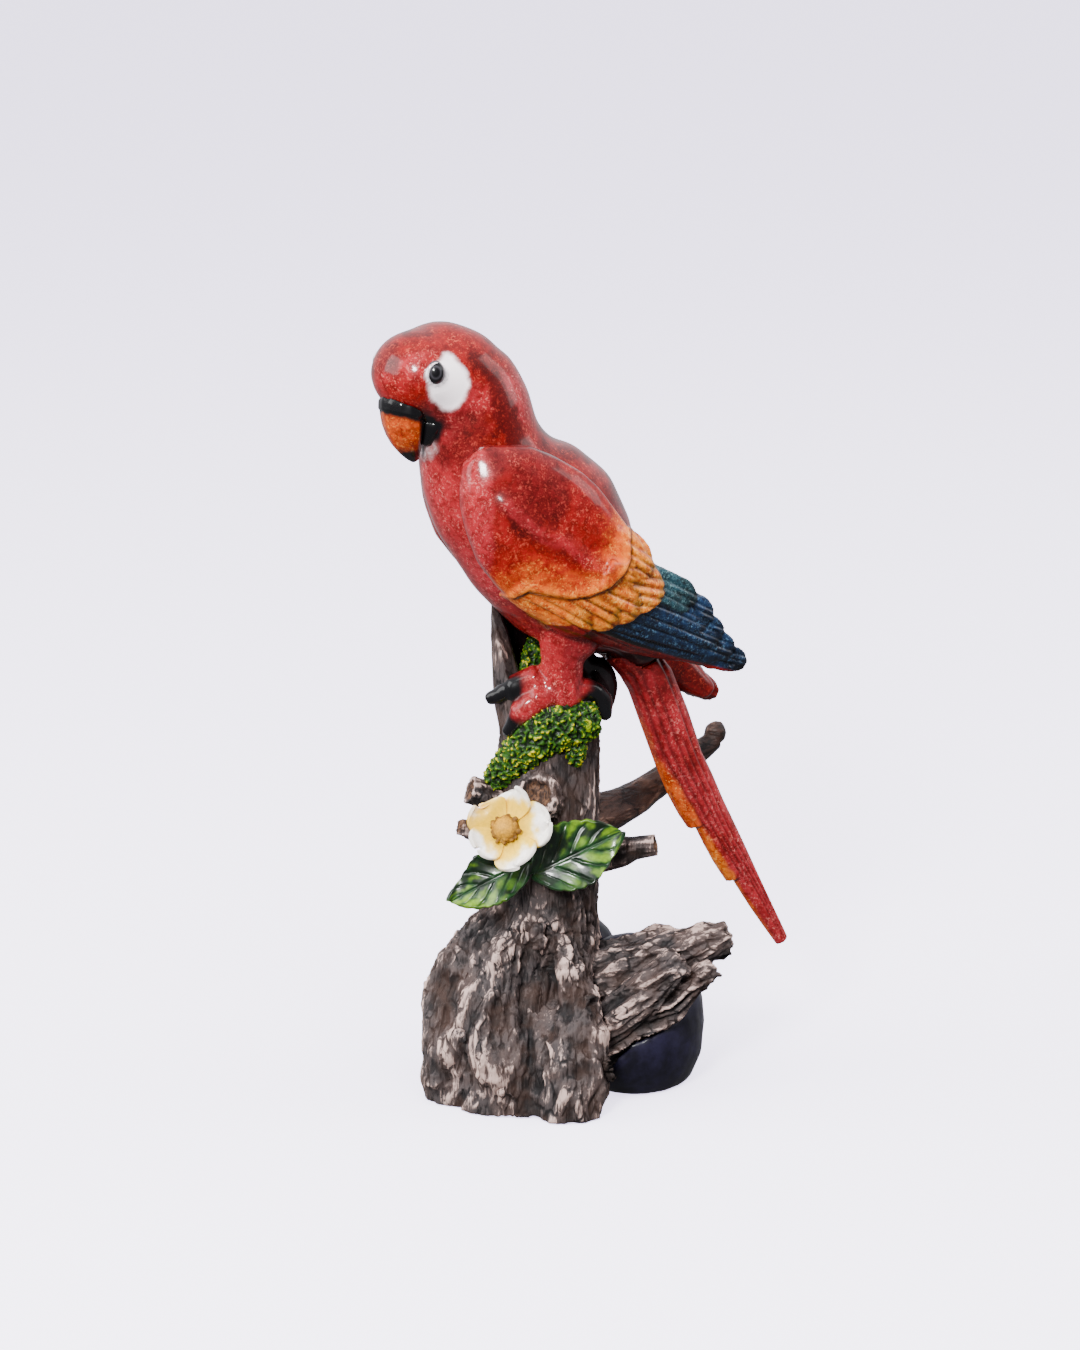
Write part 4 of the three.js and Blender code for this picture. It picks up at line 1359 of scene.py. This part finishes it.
@dataclass
class Eyes:
    """Two glossy bead eyes, each with a dark ring round a darker pupil."""

    def build(self, glaze: Finish) -> None:
        """Models and paints both eyes."""
        for node in ("eye_left", "eye_right"):
            low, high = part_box(node)
            middle = (low + high) / (2 * MM)
            half = (high - low) / (2 * MM)
            ball = add_ball(middle, (half.x + 0.15, half.y + 0.15, half.z + 0.45), 5)
            ball.name = f"{node}_bead"
            clay = Clay(ball)
            axis = np.array(middle) - np.array(HEAD.origin)
            axis[2] *= 0.55
            axis /= np.linalg.norm(axis)
            turn = (clay.points - np.array(middle)) / np.array(half)
            turn /= np.linalg.norm(turn, axis=1)[:, None]
            off = np.degrees(np.arccos(np.clip(turn @ axis, -1.0, 1.0)))
            coat = Coat(len(off), Stain.INK)
            coat.speckle[:] = 0.0
            coat.lay(Stain.SMOKE, hill(off - 31.0, 6.0) * 0.35, 0.0)
            coat.lay(Stain.SMOKE, hill(off - 66.0, 7.0) * 0.7, 0.0)
            coat.keep_on(clay)
            for face in ball.data.polygons:
                face.use_smooth = True
            finish_piece(ball, glaze, "eye_gloss", node)


# ------------------------------------------------------------------------------------------------
# The stump and what grows on it
# ------------------------------------------------------------------------------------------------


@dataclass
class BarkPiece:
    """A piece of cast bark, grooved along its length."""

    node: str
    along: Point  # the way that its grooves run
    depth: float = 1.1
    groove: float = 2.0
    voxel: float = 0.45
    rounds: int = 3
    stretch: float = 5.0
    slot: str = "bark"
    grain: Grain = Grain(53)

    def build(self, finish: Finish) -> None:
        """Casts, carves and paints the piece."""
        cast = fuse([copy_of(self.node, 0.3), *self.extras()], f"{self.node}_bark", self.voxel)
        soften(cast, self.rounds)
        clay = Clay(cast)
        relief = self.carve(clay)
        clay.mark("relief", relief)
        clay.mark("dark_gloss_and_shade", self.dark_gloss_and_shade(clay))
        clay.mark("rot", self.rot(clay))
        finish_piece(cast, finish, self.slot, self.node)

    def extras(self) -> list[Piece]:
        """Knots and stubs that are cast with the piece."""
        return []

    def laid(self, points: np.ndarray) -> np.ndarray:
        """Points squeezed along the grooves, so that a round pattern comes out long."""
        way = np.array(self.along, float)
        way /= np.linalg.norm(way)
        return points - np.outer(points @ way, way) * (1.0 - 1.0 / self.stretch)

    def bend(self, points: np.ndarray, size: float, reach: float) -> np.ndarray:
        """Points pushed about, so that straight patterns wander."""
        push = np.stack([self.grain.soft(points, size, 70 + axis) for axis in range(3)], axis=1) - 0.5
        return points + push * 2.0 * reach

    def carve(self, clay: Clay) -> np.ndarray:
        """Cuts the grooves and returns how far each point stands up, 0 to 1."""
        place = self.laid(self.bend(clay.points, 8.0, 1.3))
        planks = self.grain.ridge(place, self.groove * 2.3, 2)
        fine = self.grain.ridge(place, self.groove, 3)
        relief = np.clip(0.44 + 0.18 * evened(planks) + 0.15 * evened(fine), 0.0, 1.0)
        clay.push((relief - 0.5) * self.depth * 1.6)
        return relief

    def dark_gloss_and_shade(self, clay: Clay) -> np.ndarray:
        """Where the bark is painted near-black and glossy: dark glaze, and in a hollow also painted shade."""
        return np.zeros(len(clay.points))

    def rot(self, clay: Clay) -> np.ndarray:
        """Where the wood is bare and rotten."""
        return np.zeros(len(clay.points))


@dataclass
class CutStub(BarkPiece):
    """A short sawn stub whose end has rotted into a brown dish."""

    end: Point = (0.0, 0.0, 0.0)
    radius: float = 4.6
    dish: float = 2.2

    def carve(self, clay: Clay) -> np.ndarray:
        """Dishes the end and leaves a raised lip round it."""
        way = np.array(self.along, float)
        way /= np.linalg.norm(way)
        reach = clay.points - np.array(self.end)
        level = reach @ way
        off = np.linalg.norm(reach - np.outer(level, way), axis=1)
        wobble = self.grain.cloud(clay.points, 2.4, 3) - 0.5
        face = ease(-3.2, -1.6, level) * ease(self.radius * 1.05, self.radius * 0.7, off + wobble * 2.0)
        self.face = face
        relief = super().carve(clay)
        sunk = clay.points - np.outer(face * (self.dish + 1.6 * wobble), way)
        clay.place(sunk)
        lip = hill(off - self.radius * 1.1, 0.6) * ease(-3.0, -1.4, level)
        return np.clip(relief * (1.0 - 0.4 * face) + 0.3 * lip, 0.0, 1.0)

    def rot(self, clay: Clay) -> np.ndarray:
        """The dished face is bare."""
        return self.face * 0.85


@dataclass
class Stump(BarkPiece):
    """The stump: quiet bark up the trunk, and at the ground two roots that arch over a hollow."""

    hollow: tuple[float, float] = (-17.0, 3.5)
    roots: tuple[tuple[Point, ...], ...] = (
        ((-19.0, -16.0, 57.0), (-25.0, -20.0, 45.0), (-33.0, -20.0, 30.0), (-42.0, -14.0, 8.0)),
        ((-10.0, -16.0, 57.0), (-5.0, -20.0, 43.0), (1.0, -21.0, 28.0), (4.0, -18.0, 6.0)),
        ((-27.0, -24.0, 34.0), (-30.0, -27.0, 26.0), (-27.0, -30.0, 12.0)),
    )

    # a knuckle of root on the left, a broken block on the right, a small one in the middle and three more
    knots: tuple[tuple[Point, Point, float, float], ...] = (
        ((-28.6, -25.0, 36.0), (-30.6, -28.2, 25.0), 3.4, 2.6),
        ((-33.0, -20.0, 20.0), (-42.5, -15.0, 9.0), 4.4, 3.4),
        ((-1.4, -21.5, 31.0), (2.2, -24.5, 12.5), 3.7, 3.1),
        ((-11.5, -26.0, 17.0), (-7.0, -31.5, 9.5), 3.6, 3.2),
        ((-20.5, -22.0, 10.0), (-23.5, -29.0, 5.0), 4.6, 4.2),
        ((-14.8, -16.5, 54.0), (-14.4, -19.6, 47.5), 2.2, 1.2),
    )

    def extras(self) -> list[Piece]:
        """The knots, as closed pieces."""
        return [add_cone(*knot, KNOT_SIDES) for knot in self.knots]

    def unrolled(self, points: np.ndarray) -> tuple[np.ndarray, np.ndarray]:
        """Places on a straight trunk that stand for the points, and the distance from its middle."""
        x = np.interp(points[:, 2], [0, 26, 50, 87, 119, 150], [-17.0, -16.5, -13.0, -12.0, -11.5, -13.5])
        y = np.interp(points[:, 2], [0, 26, 50, 150], [-4.0, -3.0, 0.0, 0.0])
        side = points[:, :2] - np.stack([x, y], axis=1)
        reach = np.linalg.norm(side, axis=1)
        run = points[:, 2] - 0.8 * np.clip(reach - 15.0, 0.0, None)
        round_trunk = side / reach[:, None] * 16.0
        return np.stack([round_trunk[:, 0], round_trunk[:, 1], run], axis=1), reach

    def carve(self, clay: Clay) -> np.ndarray:
        """Raises the roots, sinks the hollow between them and cuts the bark."""
        points = clay.points
        place, reach = self.unrolled(points)
        outer = ease(9.5, 11.5, reach)
        front = ease(-6.0, -14.0, points[:, 1])
        base = ease(62.0, 44.0, points[:, 2])
        wander = self.bend(points, 10.0, 1.6)
        raised = np.zeros(len(points))
        for root in self.roots:
            along, gap = along_path(wander[:, [0, 2]], [(x, z) for x, _, z in root])
            raised = np.maximum(raised, hill(gap, 2.2 + 0.5 * along))
        pit = np.hypot((wander[:, 0] + 15.5) / 8.0, (wander[:, 2] - 34.0) / 15.0)
        sunk = ease(1.1, 0.5, pit) * front
        hole = hill(np.hypot(wander[:, 0] + 10.8, wander[:, 2] - 35.0), 2.4) * front
        brow = hill(wander[:, 2] - 54.5 + 0.04 * (points[:, 0] + 14.0) ** 2, 1.3) * front
        brow *= ease(11.0, 7.0, np.abs(points[:, 0] + 15.0))
        wandered = self.bend(place, 11.0, 2.0)
        lengthwise = wandered * np.array([1.0, 1.0, 0.17])
        folds = self.grain.ridge(wandered * np.array([1.0, 1.0, 0.3]), 9.0, 2)
        big = base * (3.0 * raised * front + 0.45 * evened(folds))
        big = big - 3.4 * sunk * base - 2.4 * hole + 1.1 * brow
        clay.push(big * outer)
        planks = self.grain.ridge(lengthwise, 3.6, 3)
        fine = self.grain.ridge(lengthwise, 1.4, 2)
        plate = self.grain.pebbles(wandered * np.array([1.0, 1.0, 0.55]), 3.6)
        crack = 1.0 - ease(0.02, 0.14, plate[1] - plate[0])
        flakes = self.grain.cloud(points, 11.0, 2)
        rough = base * 0.6 + (1.0 - 0.6 * base) * (0.25 + 0.6 * ease(0.42, 0.6, flakes))
        plated = hill(points[:, 2] - 51.0, 9.0) + 0.5 * hill(points[:, 2] - 104.0, 8.0) + 0.12
        relief = 0.44 + rough * (0.24 * evened(planks) + 0.17 * evened(fine)) - crack * 0.35 * plated
        clay.push((relief - 0.5) * outer * (1.1 + 1.3 * base * ease(0.0, 9.0, points[:, 2])))
        flatten_underside(clay)
        return np.clip(relief + 0.085 * np.clip(big, -3.0, 3.0) - 0.02, 0.0, 1.0)

    def dark_gloss_and_shade(self, clay: Clay) -> np.ndarray:
        """The inside of the broken top is glossy and painted almost black: dark glaze, deepened as painted
        shade under the bird's belly.
        """
        points = clay.points
        reach = np.hypot(points[:, 0] - self.hollow[0], points[:, 1] - self.hollow[1])
        return ease(9.6, 8.6, reach) * ease(110.0, 114.0, points[:, 2])


@dataclass
class Moss:
    """A crust of moss: worm-like bumps over a soft pad."""

    node: str
    voxel: float = 0.34
    grain: Grain = Grain(61)

    def build(self, finish: Finish) -> None:
        """Casts, stipples and paints the moss."""
        clay = cast_anew(self.node, f"{self.node}_crust", 0.45, self.voxel, 6)
        warp = np.stack([self.grain.soft(clay.points, 1.6, 20 + i) for i in range(3)], axis=1) - 0.5
        worms = self.grain.ridge((clay.points + warp * 1.8), 1.35, 2)
        near, _ = self.grain.pebbles(clay.points + warp * 1.5, 1.2)
        relief = np.clip(0.45 + 0.17 * evened(worms) - 0.13 * evened(near), 0.0, 1.0)
        clay.push((relief - 0.45) * 1.7)
        clay.mark("relief", relief)
        finish_piece(clay.piece, finish, "moss", self.node)


@dataclass
class Boulder:
    """A smooth boulder with a few broad dents."""

    node: str
    voxel: float = 0.9
    grain: Grain = Grain(71)

    def build(self, finish: Finish) -> None:
        """Casts and dents the boulder."""
        clay = cast_anew(self.node, f"{self.node}_stone", 0.25, self.voxel, 10)
        clay.push(1.6 * (self.grain.cloud(clay.points, 17.0, 2) - 0.55))
        flatten_underside(clay)
        finish_piece(clay.piece, finish, "boulder", self.node)


@dataclass
class Leaf:
    """A glossy leaf with a sunk midrib, side veins and a toothed edge."""

    node: str
    base: Point
    tip: Point
    half: float
    facing: Point
    cup: float
    grain: Grain = Grain(83)
    veins: int = 4

    def build(self, finish: Finish) -> None:
        """Models the blade from a grid and paints its veins."""
        clay, a, b = new_sheet(f"{self.node}_blade", 90, 56)
        base, tip = np.array(self.base), np.array(self.tip)
        run = tip - base
        length = np.linalg.norm(run)
        up = np.array(self.facing, float)
        up -= run * (up @ run) / (run @ run)
        up /= np.linalg.norm(up)
        across = np.cross(up, run / length)
        teeth = 1.0 + 0.055 * np.abs(np.sin(a * math.pi * 9.0)) * ease(0.08, 0.2, a)
        width = self.half * np.sin(math.pi * np.clip(a, 0.0, 1.0) ** 0.82) ** 0.8 * teeth
        vein = self.vein_at(a, b)
        sweep = self.cup * (b**2) * (width / self.half) + 0.9 * np.sin(a * math.pi * 1.0)
        ruffle = 1.0 * np.sin(a * 14.0 + np.sign(b) * 0.9 + self.grain.seed) * np.abs(b) ** 1.4
        height = sweep + ruffle + 0.6 * (1.0 - vein) * np.sin(math.pi * np.clip(a, 0, 1)) - 1.2 * a**2
        clay.place(base + a[:, None] * run + (b * width)[:, None] * across + height[:, None] * up)
        self.colour(clay, a, b, vein)
        thicken(clay.piece, 1.1)
        finish_piece(clay.piece, finish, "leaf", self.node)

    def vein_at(self, a: np.ndarray, b: np.ndarray) -> np.ndarray:
        """How near each point is to a vein, 0 to 1."""
        mid = hill(b, 0.06)
        phase = (a - 0.34 * np.abs(b)) * (self.veins + 1.0)
        off = np.abs(b)
        side = hill(np.abs(phase - np.round(phase)), 0.085) * ease(0.03, 0.15, off) * ease(1.0, 0.85, off)
        return np.clip(np.maximum(mid, side * ease(0.95, 0.8, a)), 0.0, 1.0)

    def colour(self, clay: Clay, a: np.ndarray, b: np.ndarray, vein: np.ndarray) -> None:
        """Dark green with yellow-green streaks between dark veins."""
        blotch = self.grain.cloud(clay.points, 3.4, 3)
        dark, green, lime = (paint_of(code) for code in ("081c0a", "16401a", "6e9410"))
        tint = blend(dark, green, ease(0.35, 0.6, blotch))
        phase = (a - 0.34 * np.abs(b)) * (self.veins + 1.0)
        belly = np.abs(phase - np.round(phase)) * 2.0
        glow = ease(0.45, 1.1, 0.5 * belly + (blotch - 0.3) * 1.8) * ease(0.05, 0.25, np.abs(b))
        tint = blend(tint, lime, glow * 0.85 * ease(0.1, 0.6, a))
        tint = blend(tint, dark, vein * 0.5)
        clay.paint("tint", tint)


@dataclass
class Flower:
    """An open five-petalled flower with a crumbly yellow middle."""

    centre: Point = (-23.0, -23.5, 85.0)
    facing: Point = (-0.3, -0.85, 0.43)
    grain: Grain = Grain(97)
    # each petal: its bearing in degrees, its reach, half its width, how far it cups and how far it twists
    petals: tuple[tuple[float, float, float, float, float], ...] = (
        (-5.0, 13.2, 6.6, 3.4, 0.3),
        (63.0, 11.4, 5.6, 3.0, -0.8),
        (128.0, 9.6, 6.6, 6.0, 0.5),
        (205.0, 9.4, 5.6, 5.4, -0.6),
        (281.0, 11.4, 6.8, 3.6, 0.7),
    )

    def frame(self) -> tuple[np.ndarray, np.ndarray, np.ndarray]:
        """Right, up and outward directions of the flower's face."""
        out = np.array(self.facing) / np.linalg.norm(self.facing)
        turn = Vector((0.0, 0.0, 1.0)).rotation_difference(Vector(out)).to_matrix()
        return np.array(turn @ Vector((1, 0, 0))), np.array(turn @ Vector((0, 1, 0))), out

    def build(self, petal_paint: Finish, stamen_paint: Finish) -> None:
        """Models each petal and the middle."""
        for number in range(len(self.petals)):
            self.petal(number, petal_paint)
        self.middle(stamen_paint)

    def petal(self, number: int, finish: Finish) -> None:
        """One cupped petal with a wavy lip."""
        clay, a, b = new_sheet(f"petal_{number + 1}_skin", 40, 40)
        seed = Grain(200 + number)
        bearing, length, half, cup, twist = self.petals[number]
        round_end = np.sqrt(np.clip(1.0 - np.clip((a - 0.55) / 0.45, 0, 1) ** 2.4, 0.0, 1.0))
        width = half * (0.30 + 0.70 * ease(0.0, 0.6, a)) * round_end
        lip = seed.soft(np.stack([a * 2.4, b * 1.8, 0 * a], axis=1), 1.0) - 0.5
        run = 1.2 + (length - 1.2) * a * (1.0 + 0.16 * lip)
        height = -0.8 + cup * a**1.7 - 0.35 * cup * a**6 + 1.1 * b**2 * a + 3.0 * lip * a**2
        height += twist * b * 2.2 * a
        angle = math.radians(bearing)
        right, up, out = self.frame()
        first = math.cos(angle) * right + math.sin(angle) * up
        second = -math.sin(angle) * right + math.cos(angle) * up
        spread = (b * width)[:, None] * second
        clay.place(np.array(self.centre) + run[:, None] * first + spread + height[:, None] * out)
        white, cream, yellow, brown = (paint_of(code) for code in ("faf4ee", "f8d848", "eebc00", "8a6a4c"))
        blotch = self.grain.cloud(clay.points, 2.6, 3) - 0.5
        tint = blend(white, cream, ease(0.85, 0.5, a + blotch * 0.5))
        reach = (0.0, 0.1, 0.45, 0.1, 0.0)[number]
        tint = blend(tint, yellow, ease(0.80 + reach, 0.4 + reach, a + blotch * 0.6) * 0.95)
        veins = hill(np.sin(b * 9.0), 0.16) * ease(0.9, 0.2, a) * 0.2
        tint = blend(tint, brown, veins + ease(0.93, 1.0, np.abs(b)) * 0.25)
        clay.paint("tint", tint)
        thicken(clay.piece, 1.15)
        finish_piece(clay.piece, finish, "petal", f"petal_{number + 1}")

    def middle(self, finish: Finish) -> None:
        """A crumbly dome of stamens."""
        right, up, out = self.frame()
        chance = np.random.default_rng(5)
        grains = [add_ball(np.array(self.centre) + 0.3 * out, (3.9, 3.9, 3.9), 3)]
        for _ in range(46):
            spin, reach = chance.uniform(0, 2 * math.pi), 4.4 * math.sqrt(chance.uniform(0, 1))
            rise = 2.6 - 0.09 * reach**2 + chance.uniform(-0.3, 0.7)
            spot = np.array(self.centre) + reach * (math.cos(spin) * right + math.sin(spin) * up) + rise * out
            size = chance.uniform(0.45, 0.8)
            grains.append(add_ball(spot, (size, size, size * chance.uniform(0.8, 1.3)), 2))
        dome = fuse(grains, "flower_centre_crumbs", 0.22)
        clay = Clay(dome)
        clay.push(0.35 * (self.grain.cloud(clay.points, 0.9, 3) - 0.5))
        level = (clay.points - np.array(self.centre)) @ out
        dark, bright = paint_of("6a4404"), paint_of("bc8404")
        share = ease(1.4, 3.6, level + 2.0 * (self.grain.cloud(clay.points, 1.0, 3) - 0.5))
        clay.paint("tint", blend(dark, bright, share))
        finish_piece(dome, finish, "stamen", "flower_centre")


# ------------------------------------------------------------------------------------------------
# The studio
# ------------------------------------------------------------------------------------------------


@dataclass
class Studio:
    """A pale floor that glows a little, soft light from above and behind, and the camera."""

    aim: Point = (-13.5, 0.0, 124.0)
    distance: float = 1100.0
    rise: float = 15.0
    lens: float = 102.35
    glow: float = 2.6
    # each lamp: its name, place, size, watts, and whether the glaze mirrors it
    lamps: tuple[tuple[str, Point, float, float, bool], ...] = (
        ("key_box", (-380, -1150, 820), 280, 34.0, True),
        ("left_box", (-1150, -140, 560), 1100, 20.0, False),
        ("left_sheen", (-1100, -260, 640), 800, 7.5, True),
        ("right_sheen", (1100, 60, 700), 600, 2.2, True),
        ("right_box", (1080, 160, 620), 1000, 12.0, False),
        ("fill_box", (60, -500, 1300), 1100, 28.0, False),
    )

    def build(self) -> None:
        """Sets up the floor, the lights and the camera."""
        self.floor()
        self.world()
        for row in self.lamps:
            self.lamp(*row)
        self.camera()

    def floor(self) -> None:
        """A wide matt floor."""
        bpy.ops.object.select_all(action="DESELECT")
        bpy.ops.mesh.primitive_plane_add(size=24.0, location=(0.0, 0.0, 0.0))
        floor = bpy.context.object
        floor.name = "floor"
        floor.visible_glossy = False
        floor.visible_diffuse = False
        mixer = Recipe("floor_paper")
        mixer.set(Base_Color=paint_of("e6e4ea"), Roughness=0.92, Specular_IOR_Level=0.1)
        mixer.set(Emission_Color=(0.80, 0.72, 1.0), Emission_Strength=self.glow)
        floor.data.materials.append(mixer.material)

    def world(self) -> None:
        """Surroundings that are dim towards the camera and bright behind and above."""
        world = bpy.data.worlds.new("studio_white")
        world.use_nodes = True
        nodes, links = world.node_tree.nodes, world.node_tree.links
        back = nodes["Background"]
        back.inputs["Color"].default_value = (0.95, 0.94, 1.0, 1.0)
        way, axes = nodes.new("ShaderNodeTexCoord"), nodes.new("ShaderNodeVectorMath")
        axes.operation = "DOT_PRODUCT"
        axes.inputs[1].default_value = (0.0, 0.55, 0.83)
        links.new(way.outputs["Generated"], axes.inputs[0])
        fade = nodes.new("ShaderNodeMapRange")
        fade.interpolation_type = "SMOOTHSTEP"
        for name, value in zip(RANGE_INPUTS[1:], (-0.15, 0.9, 0.20, 1.0)):
            fade.inputs[name].default_value = value
        links.new(axes.outputs["Value"], fade.inputs["Value"])
        links.new(fade.outputs["Result"], back.inputs["Strength"])
        bpy.context.scene.world = world

    def lamp(self, name: str, place: Point, size: float, watts: float, mirrored: bool) -> None:
        """One square soft box, aimed at the figurine, and mirrored in its glaze or not."""
        bpy.ops.object.select_all(action="DESELECT")
        bpy.ops.object.light_add(type="AREA", location=[c * MM for c in place])
        lamp = bpy.context.object
        lamp.name = name
        lamp.data.size = size * MM
        lamp.data.energy = watts
        lamp.visible_glossy = mirrored
        towards = Vector(self.aim) * MM - lamp.location
        lamp.rotation_euler = towards.to_track_quat("-Z", "Y").to_euler()

    def camera(self) -> None:
        """Looks slightly down at the figurine's front."""
        up, back = math.sin(math.radians(self.rise)), math.cos(math.radians(self.rise))
        spot = Vector(self.aim) + Vector((0.0, -back, up)) * self.distance
        bpy.ops.object.select_all(action="DESELECT")
        bpy.ops.object.camera_add(location=spot * MM)
        camera = bpy.context.object
        camera.name = "camera"
        camera.data.sensor_fit = "VERTICAL"
        camera.data.sensor_height = 36.0
        camera.data.lens = self.lens
        camera.rotation_euler = (Vector(self.aim) - spot).to_track_quat("-Z", "Y").to_euler()
        bpy.context.scene.camera = camera


# ------------------------------------------------------------------------------------------------
# The whole figurine
# ------------------------------------------------------------------------------------------------


def keep_frame_pieces() -> None:
    """Dresses the frame nodes that are shown as they are: dowels, wire and felt."""
    steel = PlainMetal("dowel_steel", "9a9a9a").make()
    wire = PlainMetal("stem_wire", "8a6a40", 0.4).make()
    felt = Felt().make()
    for node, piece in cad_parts.items():
        if node.startswith("felt_pad"):
            material = felt
        elif node.endswith("_pin") or node.startswith("leg_pin"):
            material = steel
        elif node == "flower_stem":
            material = wire
        else:
            continue
        piece.data.materials.clear()
        piece.data.materials.append(material)
        LOG.info("%s keeps its own shape", node)


def main() -> None:
    """Builds every piece of the figurine and the studio round it."""
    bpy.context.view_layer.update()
    red, feathers = SpeckledGlaze("red_glaze").make(), SpeckledGlaze("feather_glaze", 0.95).make()
    BirdBody().build(red)
    Wing(-1, 0.0).build(feathers)
    Wing(1, 14.0).build(feathers)
    Tail().build(red)
    beak = SpeckledGlaze("beak_glaze", 0.85, 0.6).make()
    Beak().build(beak)
    Eyes().build(beak)
    bark = BarkPaint("bark_paint").make()
    Stump("stump", (0, 0, 1), 1.5, voxel=0.45, rounds=2).build(bark)
    slanted = BarkPaint("root_bark", run=(0.5, 1.0, 0.7)).make()
    BarkPiece("broken_root", (0.84, -0.12, 0.54), 2.0, 2.4, 0.42, stretch=7.0).build(slanted)
    for node, along, depth, groove, end, radius, dish in (
        ("front_stub", (-0.36, -0.86, 0.36), 0.6, 1.6, (-14.6, -18.0, 93.6), 4.6, 2.2),
        ("upper_left_stub", (-0.9, -0.3, 0.2), 0.6, 1.6, (-33.5, -8.0, 92.0), 3.0, 0.8),
        ("lower_left_stub", (-0.95, -0.2, 0.0), 0.6, 1.6, (-36.6, -10.0, 82.0), 2.4, 0.6),
        ("short_branch", (0.95, -0.28, 0.18), 0.5, 2.0, (19.6, -8.5, 75.6), 2.6, 0.6),
    ):
        CutStub(node, along, depth, groove, 0.3, end=end, radius=radius, dish=dish).build(bark)
    branch = BarkPaint("branch_bark", "120b0a", "2c1d19", "5c453b", (0.4, 0.4, 1.0), 0.4).make()
    BarkPiece("long_branch", (0.74, 0.6, 0.28), 0.35, 2.2, 0.36, 8, slot="branch_bark").build(branch)
    moss = MossPaint().make()
    Moss("moss_front").build(moss)
    Moss("moss_rim").build(moss)
    stone = BoulderGlaze().make()
    Boulder("front_boulder").build(stone)
    Boulder("rear_boulder").build(stone)
    leaf = HandPaint("leaf_glaze", 0.34, 0.4, wash=0.35, texture=0.1, grain_size=1.2).make()
    Leaf("leaf_left", (-16.5, -18.0, 73.5), (-39.5, -19.5, 62.2), 7.4, (-0.25, -0.9, 0.45), 1.6).build(leaf)
    Leaf("leaf_right", (-15.5, -18.5, 70.0), (10.0, -15.5, 82.0), 9.4, (0.15, -0.9, 0.35), 1.8).build(leaf)
    Flower().build(
        HandPaint("petal_paint", 0.5, 0.1, wash=0.12, texture=0.1).make(),
        HandPaint("stamen_paint", 0.7, 0.0, wash=0.4, texture=0.15, grain_size=0.6).make(),
    )
    keep_frame_pieces()
    Studio().build()


if __name__ == "__main__":
    main()
